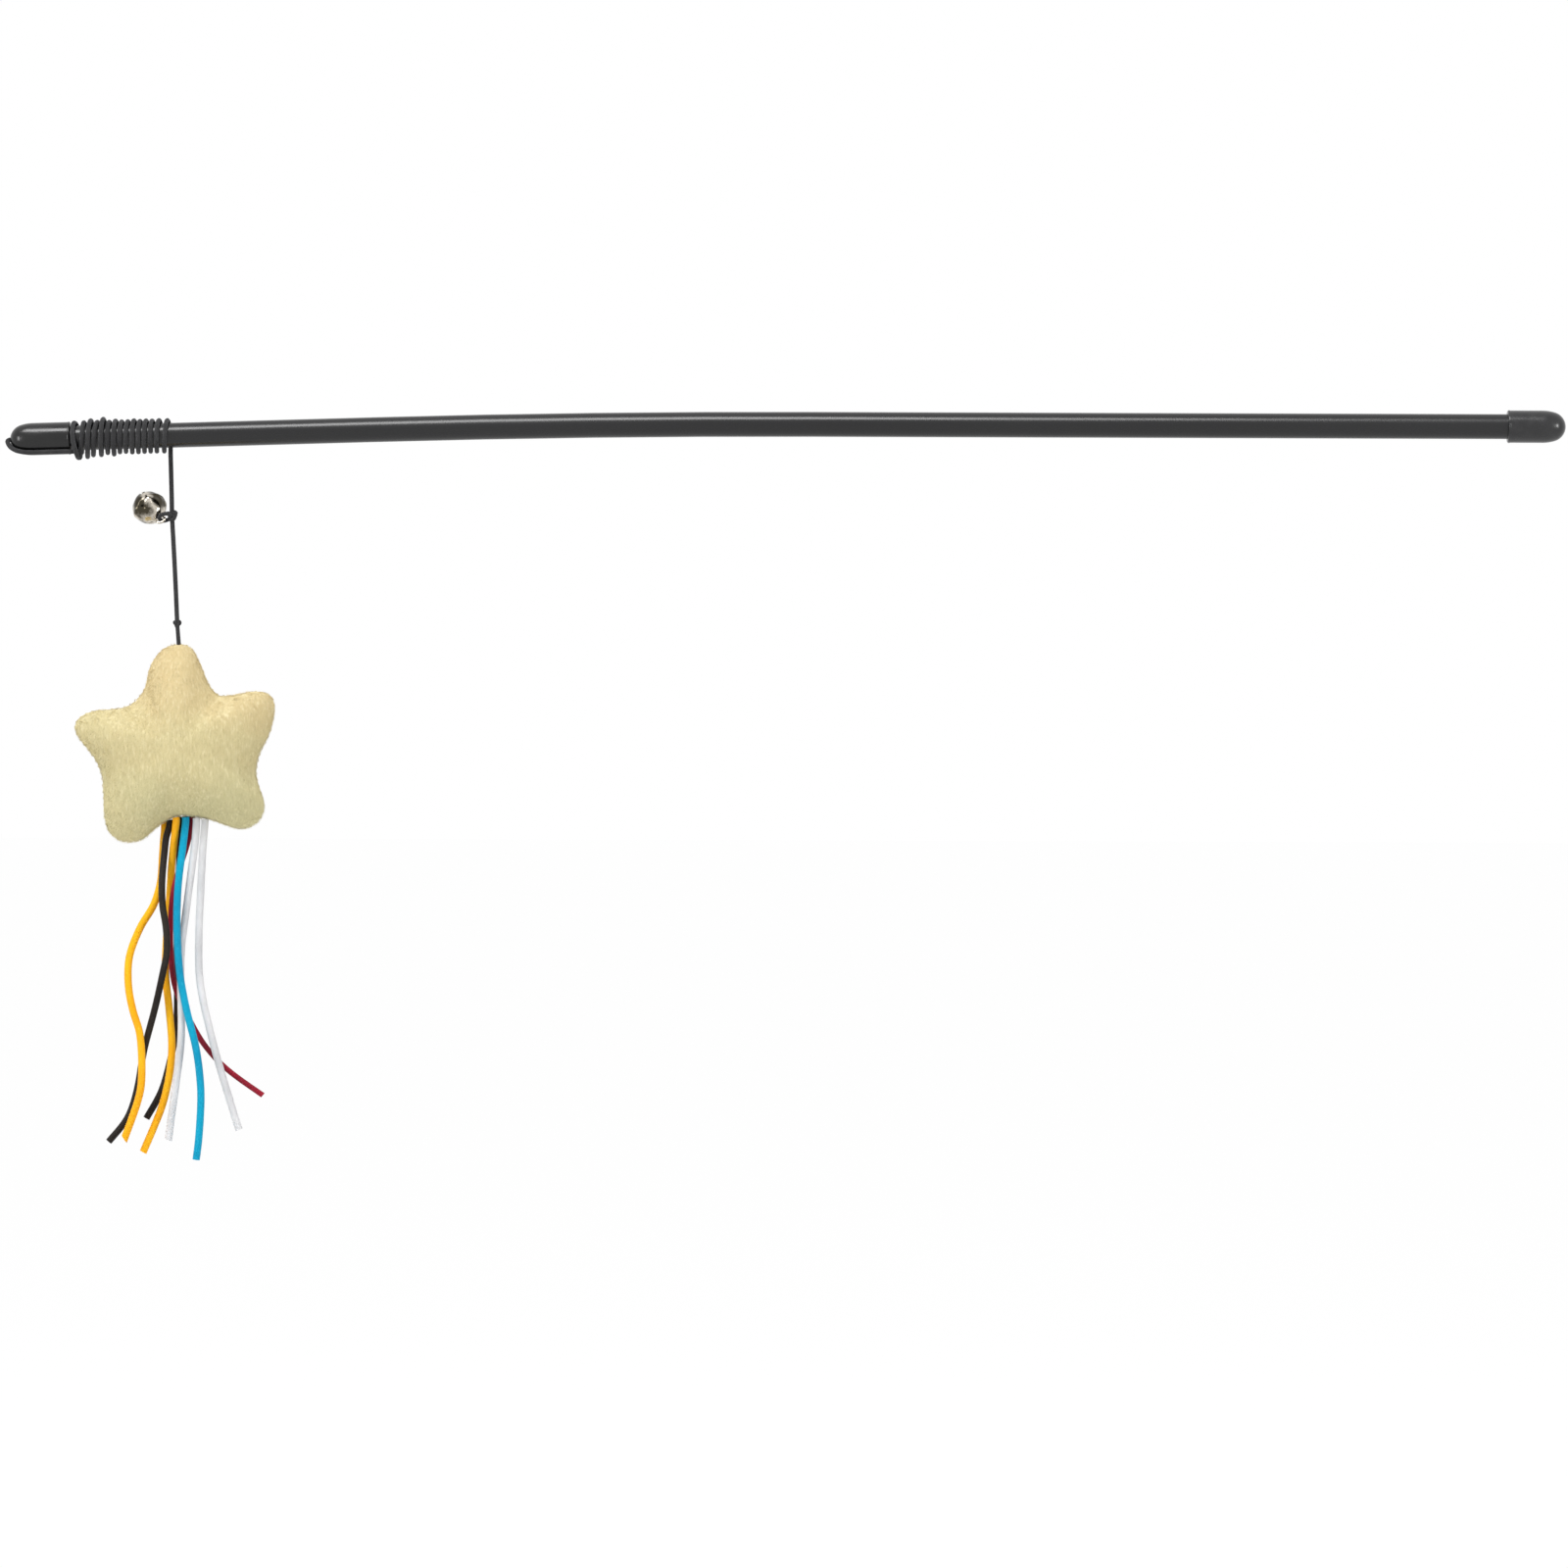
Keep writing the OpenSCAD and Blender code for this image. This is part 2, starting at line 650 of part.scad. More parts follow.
rod();
tip_cap();
butt_cap();
anchor_knot();
line_winding();
line_upper();
bell_knot();
bell_loop();
bell_shell();
bell_eye();
bell_pellet();
line_lower();
star_knot();
star_loop();
star_front();
star_back();
star_filling();
yellow_strand_left();
black_strand_left();
yellow_strand_right();
black_strand_rear();
blue_strand();
red_strand();
white_strand_left();
white_strand_right();
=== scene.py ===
import math

import bmesh
import bpy
from mathutils import Matrix, Vector, noise


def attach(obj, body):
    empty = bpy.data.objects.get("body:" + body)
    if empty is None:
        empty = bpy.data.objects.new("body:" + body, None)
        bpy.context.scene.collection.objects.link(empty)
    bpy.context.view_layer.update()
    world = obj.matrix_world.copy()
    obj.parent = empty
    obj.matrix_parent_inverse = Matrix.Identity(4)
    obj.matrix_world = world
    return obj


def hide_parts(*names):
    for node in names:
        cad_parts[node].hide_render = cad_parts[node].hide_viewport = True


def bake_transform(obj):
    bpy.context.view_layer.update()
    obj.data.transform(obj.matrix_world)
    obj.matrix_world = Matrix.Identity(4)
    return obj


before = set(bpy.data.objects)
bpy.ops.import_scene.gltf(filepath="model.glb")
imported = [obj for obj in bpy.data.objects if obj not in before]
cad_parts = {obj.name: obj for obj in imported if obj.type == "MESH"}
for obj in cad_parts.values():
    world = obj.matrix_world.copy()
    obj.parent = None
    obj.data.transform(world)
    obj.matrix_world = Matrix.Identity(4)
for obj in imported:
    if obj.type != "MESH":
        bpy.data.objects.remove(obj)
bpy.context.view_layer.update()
scene = bpy.context.scene
scene.view_settings.view_transform = "Standard"
print("frame loaded")

# Lengths below are in metres, as in the frame; mm turns millimetres into them.
mm = 0.001


def turn(x, y, z):
    return (Matrix.Rotation(math.radians(z), 4, "Z")
            @ Matrix.Rotation(math.radians(y), 4, "Y")
            @ Matrix.Rotation(math.radians(x), 4, "X"))


def smoothStep(low, high, value):
    share = min(1.0, max(0.0, (value - low) / (high - low)))
    return share * share * (3 - 2 * share)


# A point between b and c, on the smooth line through all four.
def between(a, b, c, d, f):
    return [(2 * q + (r - p) * f + (2 * p - 5 * q + 4 * r - s) * f * f
             + (3 * q - p - 3 * r + s) * f ** 3) / 2
            for p, q, r, s in zip(a, b, c, d)]


def smoothRoute(points, steps):
    last = len(points) - 1
    route = []
    for i in range(last):
        four = [points[min(max(k, 0), last)] for k in (i - 1, i, i + 1, i + 2)]
        route += [Vector(between(*four, j / steps)) for j in range(steps)]
    return route + [Vector(points[last])]


def routeLengths(points):
    lengths = [0.0]
    for a, b in zip(points, points[1:]):
        lengths.append(lengths[-1] + (b - a).length)
    return lengths


def addMesh(name, bm, smooth=True):
    mesh = bpy.data.meshes.new(name)
    bm.to_mesh(mesh)
    bm.free()
    if smooth:
        mesh.shade_smooth()
    piece = bpy.data.objects.new(name, mesh)
    scene.collection.objects.link(piece)
    return piece


# Turns a piece's modifiers into plain mesh.
def settle(piece):
    bpy.context.view_layer.update()
    graph = bpy.context.evaluated_depsgraph_get()
    mesh = bpy.data.meshes.new_from_object(piece.evaluated_get(graph))
    old = piece.data
    if piece.type == "MESH":
        piece.modifiers.clear()
        piece.data = mesh
        bpy.data.meshes.remove(old)
        return piece
    name = piece.name
    bpy.data.objects.remove(piece)
    bpy.data.curves.remove(old)
    made = bpy.data.objects.new(name, mesh)
    scene.collection.objects.link(made)
    return made


# Materials: a node tree written as calls

class Shader:
    def __init__(self, name):
        self.material = bpy.data.materials.new(name)
        self.material.use_nodes = True
        self.nodes = self.material.node_tree.nodes
        self.links = self.material.node_tree.links
        self.surface = self.nodes["Principled BSDF"]

    def node(self, kind, values=None, **settings):
        made = self.nodes.new("ShaderNode" + kind)
        for key, value in settings.items():
            setattr(made, key, value)
        for key, value in (values or {}).items():
            self.give(made.inputs[key], value)
        return made

    def give(self, socket, value):
        if isinstance(value, bpy.types.NodeSocket):
            self.links.new(value, socket)
        else:
            socket.default_value = value

    def math(self, operation, a, b=0.0, c=0.0):
        made = self.node("Math", operation=operation)
        for socket, value in zip(made.inputs, (a, b, c)):
            self.give(socket, value)
        return made.outputs[0]

    def mix(self, share, a, b):
        made = self.node("Mix", data_type="RGBA")
        self.give(made.inputs["Factor"], share)
        self.give(made.inputs["A"], a)
        self.give(made.inputs["B"], b)
        return next(s for s in made.outputs if s.enabled)

    def spread(self, value, low, high, toLow=0.0, toHigh=1.0):
        made = self.node("MapRange")
        ends = {"From Min": low, "From Max": high, "To Min": toLow, "To Max": toHigh}
        for key, number in ends.items():
            made.inputs[key].default_value = number
        self.give(made.inputs["Value"], value)
        return made.outputs["Result"]

    def place(self, scale=(1, 1, 1)):
        coordinates = self.node("TexCoord").outputs["Object"]
        return self.node("Mapping", {"Vector": coordinates, "Scale": scale}).outputs["Vector"]

    def noise(self, vector, scale, detail=3.0, roughness=0.5):
        values = {"Vector": vector, "Scale": scale, "Detail": detail, "Roughness": roughness}
        return self.node("TexNoise", values).outputs[0]

    def bump(self, height, distance, strength=1.0):
        made = self.node("Bump", {"Height": height, "Distance": distance, "Strength": strength})
        self.links.new(made.outputs["Normal"], self.surface.inputs["Normal"])

    def set(self, **values):
        names = {"color": "Base Color", "rough": "Roughness", "metal": "Metallic",
                 "specular": "Specular IOR Level", "sheen": "Sheen Weight",
                 "sheenRough": "Sheen Roughness", "sheenTint": "Sheen Tint"}
        for key, value in values.items():
            self.give(self.surface.inputs[names[key]], value)


def plastic(name, look):
    shader = Shader(name)
    grain = shader.noise(shader.place(look["stretch"]), look["grain"], 4)
    shade = shader.spread(grain, 0.3, 0.7)
    shader.set(color=shader.mix(shade, look["dark"], look["light"]),
               rough=shader.spread(grain, 0.3, 0.7, *look["rough"]), specular=look["specular"])
    waves = shader.noise(shader.place(look["stretch"]), look["waves"], 2)
    shader.bump(waves, look["waveHeight"], 0.6)
    return shader.material


# Braided or satin cord: ridges that cross, placed by the piece's own weave attribute.
def woven(name, look):
    shader = Shader(name)
    weave = shader.node("Attribute", attribute_name="weave").outputs["Vector"]
    parts = shader.node("SeparateXYZ", {"Vector": weave})
    around = shader.math("MULTIPLY", parts.outputs["X"], look["strands"])
    along = shader.math("DIVIDE", parts.outputs["Y"], look["pitch"])
    rise = shader.math("MULTIPLY", shader.math("ADD", around, along), math.pi)
    fall = shader.math("MULTIPLY", shader.math("SUBTRACT", around, along), math.pi)
    riseRidge = shader.math("ABSOLUTE", shader.math("COSINE", rise))
    fallRidge = shader.math("ABSOLUTE", shader.math("COSINE", fall))
    turnOver = shader.spread(shader.math("COSINE", shader.math("ADD", rise, fall)), -0.5, 0.5)
    over = shader.math("MULTIPLY", riseRidge, turnOver)
    under = shader.math("MULTIPLY", fallRidge, shader.math("SUBTRACT", 1.0, turnOver))
    height = shader.math("MAXIMUM", over, under)
    drift = shader.noise(shader.place(), look["drift"], 3)
    glintAndFuzz = shader.noise(shader.place(), look["glintAndFuzz"], 2, 0.7)
    base = shader.mix(shader.spread(drift, 0.35, 0.65), look["deep"], look["color"])
    # Painted shade: the low parts of the weave, between its ridges, are mixed toward a darker
    # colour.
    grooveShadeShare = shader.spread(height, 0.0, 0.7, look["grooveShade"], 0.0)
    base = shader.mix(grooveShadeShare, base, look["grooveShadeColor"])
    # Painted glints: spots of the fine noise are mixed toward a lighter colour, standing in for the
    # cord's sparkle; the same noise also roughens the bump.
    paintedGlints = shader.spread(glintAndFuzz, look["glintFrom"], look["glintFrom"] + 0.12, 0.0,
                           look["glintShare"])
    base = shader.mix(paintedGlints, base, look["glintColor"])
    shader.set(color=base, rough=look["rough"], specular=look["specular"], sheen=look["sheen"],
               sheenRough=0.4, sheenTint=look["sheenTint"])
    fuzz = shader.math("MULTIPLY", glintAndFuzz, 0.3)
    shader.bump(shader.math("ADD", height, fuzz), look["relief"], 0.8)
    return shader.material


rodLook = {"dark": (0.002, 0.002, 0.0025, 1), "light": (0.006, 0.006, 0.007, 1),
           "rough": (0.24, 0.32), "specular": 0.48, "grain": 60.0, "stretch": (0.12, 1, 1),
           "waves": 18.0, "waveHeight": 0.05 * mm}
tipLook = {"dark": (0.002, 0.002, 0.002, 1), "light": (0.005, 0.005, 0.005, 1),
           "rough": (0.18, 0.26), "specular": 0.45, "grain": 160.0, "stretch": (0.6, 1, 1),
           "waves": 90.0, "waveHeight": 0.06 * mm}
buttLook = {"dark": (0.006, 0.006, 0.007, 1), "light": (0.014, 0.014, 0.015, 1),
            "rough": (0.2, 0.28), "specular": 0.55, "grain": 300.0, "stretch": (1, 1, 1),
            "waves": 900.0, "waveHeight": 0.03 * mm}
rodMaterial = plastic("rodPlastic", rodLook)
tipMaterial = plastic("tipVinyl", tipLook)
buttMaterial = plastic("buttVinyl", buttLook)

elasticLook = {"color": (0.05, 0.05, 0.051, 1), "deep": (0.036, 0.036, 0.037, 1),
               "grooveShadeColor": (0.012, 0.012, 0.013, 1), "grooveShade": 0.7, "strands": 8.0,
               "pitch": 0.55 * mm, "relief": 0.12 * mm, "drift": 260.0, "glintAndFuzz": 2600.0,
               "glintFrom": 0.62, "glintShare": 0.25, "glintColor": (0.12, 0.12, 0.13, 1),
               "rough": 0.72, "specular": 0.12, "sheen": 0.25, "sheenTint": (0.6, 0.6, 0.65, 1)}
satinLook = {"strands": 12.0, "pitch": 0.8 * mm, "relief": 0.07 * mm, "drift": 60.0,
             "grooveShade": 0.3, "glintAndFuzz": 2300.0, "glintFrom": 0.57, "glintShare": 0.45,
             "rough": 0.42, "specular": 0.15, "sheen": 0.03}
yellowLook = {**satinLook, "color": (1.0, 0.53, 0.012, 1), "deep": (0.97, 0.42, 0.006, 1),
              "grooveShadeColor": (0.75, 0.27, 0.0, 1), "glintColor": (1.0, 0.7, 0.08, 1),
              "sheenTint": (1, 0.8, 0.3, 1)}
blackLook = {**satinLook, "color": (0.026, 0.019, 0.014, 1), "deep": (0.013, 0.01, 0.008, 1),
             "grooveShadeColor": (0.004, 0.004, 0.004, 1), "glintColor": (0.06, 0.055, 0.05, 1),
             "sheenTint": (0.5, 0.5, 0.5, 1)}
blueLook = {**satinLook, "color": (0.0, 0.38, 0.6, 1), "deep": (0.0, 0.28, 0.48, 1),
            "grooveShadeColor": (0.0, 0.14, 0.3, 1), "glintColor": (0.06, 0.62, 0.85, 1),
            "sheenTint": (0.4, 0.8, 1, 1)}
redLook = {**satinLook, "color": (0.42, 0.012, 0.034, 1), "deep": (0.2, 0.008, 0.02, 1),
           "grooveShadeColor": (0.08, 0.003, 0.01, 1), "glintColor": (0.55, 0.06, 0.11, 1),
           "sheenTint": (1, 0.5, 0.5, 1)}
whiteLook = {**satinLook, "color": (0.78, 0.78, 0.79, 1), "deep": (0.6, 0.605, 0.62, 1),
             "grooveShadeColor": (0.4, 0.41, 0.42, 1), "glintColor": (0.9, 0.9, 0.91, 1),
             "sheenTint": (1, 1, 1, 1), "grooveShade": 0.2}
elasticMaterial = woven("elastic", elasticLook)
yellowMaterial = woven("yellowSatin", yellowLook)
blackMaterial = woven("blackSatin", blackLook)
blueMaterial = woven("blueSatin", blueLook)
redMaterial = woven("redSatin", redLook)
whiteMaterial = woven("whiteSatin", whiteLook)


def nickel(name, look):
    shader = Shader(name)
    cloudNoise = shader.noise(shader.place(), look["cloudNoise"], 4, 0.6)
    # Painted dark reflection: clouds of noise, and on the bell the flat petals most, turn the plate
    # toward a near-black colour that stands for dark surroundings seen in it, while the ridges keep
    # the bright colour. On the pellet, with no petal share, the clouds only vary its tone a little.
    petal = shader.node("Attribute", attribute_name="petal").outputs["Fac"]
    darkReflectionShare = shader.math("ADD", cloudNoise, shader.math("MULTIPLY", petal, look["petalDarkReflection"]))
    base = shader.mix(shader.spread(darkReflectionShare, *look["clouds"]), look["bright"], look["darkReflectionColor"])
    shader.set(color=base, metal=1.0, rough=shader.spread(cloudNoise, 0.3, 0.7, *look["rough"]))
    shader.bump(shader.noise(shader.place(), look["dents"], 1), look["dentDepth"])
    return shader.material


# The bell's near-black colour and its petal share paint dark reflections.
bellLook = {"bright": (0.62, 0.57, 0.49, 1), "darkReflectionColor": (0.06, 0.052, 0.036, 1),
            "cloudNoise": 190.0, "rough": (0.08, 0.22), "dents": 250.0, "dentDepth": 1.4 * mm,
            "clouds": (0.5, 0.66), "petalDarkReflection": 0.27}
pelletLook = {"bright": (0.6, 0.6, 0.6, 1), "darkReflectionColor": (0.4, 0.39, 0.37, 1), "cloudNoise": 500.0,
              "rough": (0.2, 0.35), "dents": 400.0, "dentDepth": 0.02 * mm,
              "clouds": (0.4, 0.68), "petalDarkReflection": 0.0}
bellMaterial = nickel("bellPlate", bellLook)
pelletMaterial = nickel("pelletSteel", pelletLook)

plushLook = {"light": (0.71, 0.58, 0.325, 1), "mid": (0.69, 0.61, 0.35, 1),
             "low": (0.63, 0.585, 0.345, 1), "pileHighlight": (0.9, 0.83, 0.58, 1),
             "grooveShadeColor": (0.5, 0.44, 0.24, 1), "sheenTint": (1, 0.93, 0.75, 1), "top": -0.075,
             "bottom": -0.135, "fibre": 0.9 * mm, "fibreRadius": 0.055 * mm, "fibres": 8.0e6,
             "lean": (0.1, 0, -0.9)}


def plush(look):
    shader = Shader("plush")
    parts = shader.node("SeparateXYZ", {"Vector": shader.node("TexCoord").outputs["Object"]})
    rise = shader.spread(parts.outputs["Z"], look["bottom"], look["top"])
    cloud = shader.noise(shader.place(), 28.0, 3)
    level = shader.math("ADD", rise, shader.spread(cloud, 0.3, 0.7, -0.25, 0.25))
    base = shader.mix(shader.spread(level, 0.0, 0.45), look["low"], look["mid"])
    base = shader.mix(shader.spread(level, 0.6, 1.1), base, look["light"])
    pile = shader.noise(shader.place((1, 1, 0.28)), 1500.0, 3, 0.6)
    # Painted highlight on streaks of the pile, and painted shade between them, both from the
    # stretched pile noise.
    base = shader.mix(shader.spread(pile, 0.54, 0.68, 0.0, 0.45), base, look["pileHighlight"])
    base = shader.mix(shader.spread(pile, 0.32, 0.46, 0.35, 0.0), base, look["grooveShadeColor"])
    shader.set(color=base, rough=0.95, specular=0.1, sheen=0.12, sheenRough=0.5,
               sheenTint=look["sheenTint"])
    shader.bump(pile, 0.35 * mm, 0.7)
    return shader.material


plushMaterial = plush(plushLook)


def plain(name, color, rough, scale):
    shader = Shader(name)
    grain = shader.noise(shader.place(), scale, 3)
    dim = tuple(0.86 * c for c in color[:3]) + (1,)
    base = shader.mix(shader.spread(grain, 0.35, 0.65), dim, color)
    shader.set(color=base, rough=rough, specular=0.2)
    shader.bump(grain, 0.1 * mm, 0.5)
    return shader.material


fillingMaterial = plain("filling", (0.86, 0.86, 0.84, 1), 0.9, 700.0)
threadMaterial = plain("seamThread", (0.66, 0.58, 0.36, 1), 0.8, 3000.0)
print("materials made")


# Geometry Nodes: a group with named inputs, written as calls

class Tree:
    def __init__(self, name, inputs):
        self.group = bpy.data.node_groups.new(name, "GeometryNodeTree")
        face = self.group.interface
        face.new_socket("Geometry", in_out="INPUT", socket_type="NodeSocketGeometry")
        for label, kind in inputs.items():
            face.new_socket(label, in_out="INPUT", socket_type="NodeSocket" + kind)
        face.new_socket("Geometry", in_out="OUTPUT", socket_type="NodeSocketGeometry")
        self.start = self.group.nodes.new("NodeGroupInput")
        self.end = self.group.nodes.new("NodeGroupOutput")

    def input(self, label):
        return self.start.outputs[label]

    def node(self, kind, values=None, **settings):
        made = self.group.nodes.new(kind)
        for key, value in settings.items():
            setattr(made, key, value)
        for key, value in (values or {}).items():
            if isinstance(value, bpy.types.NodeSocket):
                self.group.links.new(value, made.inputs[key])
            else:
                made.inputs[key].default_value = value
        return made

    def math(self, operation, a, b=0.0):
        return self.node("ShaderNodeMath", {0: a, 1: b}, operation=operation).outputs[0]

    def capture(self, geometry, value, domain="POINT"):
        made = self.node("GeometryNodeCaptureAttribute", domain=domain)
        made.capture_items.new("FLOAT", "Value")
        self.group.links.new(geometry, made.inputs[0])
        self.group.links.new(value, made.inputs[1])
        return made.outputs[0], made.outputs[1]

    def finish(self, geometry):
        self.group.links.new(geometry, self.end.inputs[0])
        return self.group


def useTree(piece, group, values):
    modifier = piece.modifiers.new(group.name, "NODES")
    modifier.node_group = group
    for item in group.interface.items_tree:
        if item.in_out == "INPUT" and item.name in values:
            modifier[item.identifier] = values[item.name]
    return settle(piece)


# A tube along a curve, a little uneven. Its weave attribute counts turns round it, and
# metres along it.
def makeCordTree():
    tree = Tree("cordTree", {"Radius": "Float", "Sides": "Int", "Step": "Float", "Lumps": "Float",
                             "Lump Size": "Float", "Material": "Material"})
    path = tree.node("GeometryNodeResampleCurve",
                     {"Curve": tree.input("Geometry"), "Length": tree.input("Step")}, mode="LENGTH")
    place = tree.node("GeometryNodeSplineParameter")
    line, along = tree.capture(path.outputs["Curve"], place.outputs["Length"])
    circle = tree.node("GeometryNodeCurvePrimitiveCircle",
                       {"Resolution": tree.input("Sides"), "Radius": tree.input("Radius")})
    ring, around = tree.capture(circle.outputs["Curve"], place.outputs["Factor"])
    tube = tree.node("GeometryNodeCurveToMesh",
                     {"Curve": line, "Profile Curve": ring, "Fill Caps": True})
    lumps = tree.node("ShaderNodeTexNoise", {"Scale": tree.input("Lump Size"), "Detail": 1.0})
    uneven = tree.math("SUBTRACT", lumps.outputs[0], 0.5)
    offset = tree.math("MULTIPLY", uneven, tree.input("Lumps"))
    normal = tree.node("GeometryNodeInputNormal")
    push = tree.node("ShaderNodeVectorMath", {0: normal.outputs[0], "Scale": offset},
                     operation="SCALE")
    moved = tree.node("GeometryNodeSetPosition",
                      {"Geometry": tube.outputs[0], "Offset": push.outputs[0]})
    # Where the profile closes, the last strip's corners count on past one turn.
    middle = tree.node("GeometryNodeFieldOnDomain", {0: around}, data_type="FLOAT", domain="FACE")
    behind = tree.math("GREATER_THAN", tree.math("SUBTRACT", middle.outputs[0], around), 0.25)
    turned = tree.node("ShaderNodeCombineXYZ", {"X": tree.math("ADD", around, behind), "Y": along})
    stored = tree.node("GeometryNodeStoreNamedAttribute",
                       {"Geometry": moved.outputs[0], "Name": "weave", "Value": turned.outputs[0]},
                       data_type="FLOAT_VECTOR", domain="CORNER")
    smooth = tree.node("GeometryNodeSetShadeSmooth", {"Geometry": stored.outputs[0]})
    whole = tree.node("GeometryNodeRealizeInstances", {"Geometry": smooth.outputs[0]})
    painted = tree.node("GeometryNodeSetMaterial",
                        {"Geometry": whole.outputs[0], "Material": tree.input("Material")})
    return tree.finish(painted.outputs[0])


cordTree = makeCordTree()


# Short fibres over a surface, leaning one way.
def makePileTree():
    tree = Tree("pileTree", {"Density": "Float", "Length": "Float", "Radius": "Float",
                             "Lean": "Vector", "Outward": "Vector", "Material": "Material"})
    # The cloth's inner face carries no pile.
    faceWay = tree.node("GeometryNodeInputNormal").outputs[0]
    facing = tree.node("ShaderNodeVectorMath", {0: faceWay, 1: tree.input("Outward")},
                       operation="DOT_PRODUCT")
    outer = tree.math("GREATER_THAN", facing.outputs["Value"], -0.05)
    spots = tree.node("GeometryNodeDistributePointsOnFaces",
                      {"Mesh": tree.input("Geometry"), "Density": tree.input("Density"), "Seed": 7,
                       "Selection": outer})
    fibre = tree.node("GeometryNodeMeshCone",
                      {"Vertices": 3, "Radius Top": 0.0, "Radius Bottom": tree.input("Radius"),
                       "Depth": tree.input("Length")}, fill_type="NONE")
    clumps = tree.node("ShaderNodeTexNoise", {"Scale": 320.0, "Detail": 2.0})
    sway = tree.node("ShaderNodeVectorMath", {0: clumps.outputs["Color"], 1: (0.5, 0.5, 0.5)},
                     operation="SUBTRACT")
    swing = tree.node("ShaderNodeVectorMath", {0: sway.outputs[0], "Scale": 2.6}, operation="SCALE")
    lean = tree.node("ShaderNodeVectorMath", {0: swing.outputs[0], 1: tree.input("Lean")},
                     operation="ADD")
    way = tree.node("ShaderNodeVectorMath", {0: lean.outputs[0], 1: spots.outputs["Normal"]},
                    operation="ADD")
    aligned = tree.node("FunctionNodeAlignRotationToVector", {"Vector": way.outputs[0]}, axis="Z")
    size = tree.node("FunctionNodeRandomValue", {"Min": 0.5, "Max": 1.1, "Seed": 3},
                     data_type="FLOAT")
    sizes = [socket for socket in size.outputs if socket.enabled][0]
    grown = tree.node("GeometryNodeInstanceOnPoints",
                      {"Points": spots.outputs["Points"], "Instance": fibre.outputs["Mesh"],
                       "Rotation": aligned.outputs[0], "Scale": sizes})
    real = tree.node("GeometryNodeRealizeInstances", {"Geometry": grown.outputs[0]})
    painted = tree.node("GeometryNodeSetMaterial",
                        {"Geometry": real.outputs[0], "Material": tree.input("Material")})
    joined = tree.node("GeometryNodeJoinGeometry")
    tree.group.links.new(tree.input("Geometry"), joined.inputs[0])
    tree.group.links.new(painted.outputs[0], joined.inputs[0])
    return tree.finish(joined.outputs[0])


pileTree = makePileTree()


# A cord through points. The shares are its radius at each of them, as a share of radius.
def cordPiece(name, points, radius, material, shares=None, sides=16, step=0.35 * mm, lumps=0.06,
              lumpSize=420.0, closed=False):
    curve = bpy.data.curves.new(name, "CURVE")
    curve.dimensions = "3D"
    spline = curve.splines.new("POLY")
    spline.points.add(len(points) - 1)
    spline.use_cyclic_u = closed
    for i, point in enumerate(points):
        spline.points[i].co = (*point, 1)
        spline.points[i].radius = shares[i] if shares else 1.0
    piece = bpy.data.objects.new(name, curve)
    scene.collection.objects.link(piece)
    return useTree(piece, cordTree,
                   {"Radius": radius, "Sides": sides, "Step": step, "Lumps": lumps * radius,
                    "Lump Size": lumpSize, "Material": material})


# Rod and caps are the CAD's own; their places are worked out again for the line.

rod = {"straight": 228.8 * mm, "bend": 141.5 * mm, "bendDeg": 1.776, "length": 499 * mm,
       "radius": 4 * mm}
cap = {"wall": 1.2 * mm, "radius": 5.2 * mm, "noseRadius": 4.8 * mm, "shoulder": 2.6 * mm,
       "length": 19.5 * mm, "lip": 1.1 * mm, "lipRise": 0.1 * mm, "buttWall": 10.2 * mm}
cap["dome"] = cap["noseRadius"] + cap["shoulder"]
bendRadius = rod["bend"] / math.radians(rod["bendDeg"])
bendAngle = math.radians(rod["bendDeg"])
tipLength = rod["length"] - cap["buttWall"] / 2 - cap["dome"] - rod["straight"] - rod["bend"]
noseX = -rod["straight"] - bendRadius * math.sin(bendAngle) - tipLength * math.cos(bendAngle)
noseZ = bendRadius * (math.cos(bendAngle) - 1) - tipLength * math.sin(bendAngle)
noseAt = Vector((noseX, 0, noseZ))
tipFrame = Matrix.Translation(noseAt) @ turn(0, -rod["bendDeg"], 0)

for node, material in (("rod", rodMaterial), ("tip_cap", tipMaterial), ("butt_cap", buttMaterial),
                       ("bell_pellet", pelletMaterial), ("bell_eye", bellMaterial)):
    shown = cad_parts[node]
    shown.data.materials.clear()
    shown.data.materials.append(material)

# The elastic line: from inside the cap, round the hitch and the turns, and down to the bell's knot

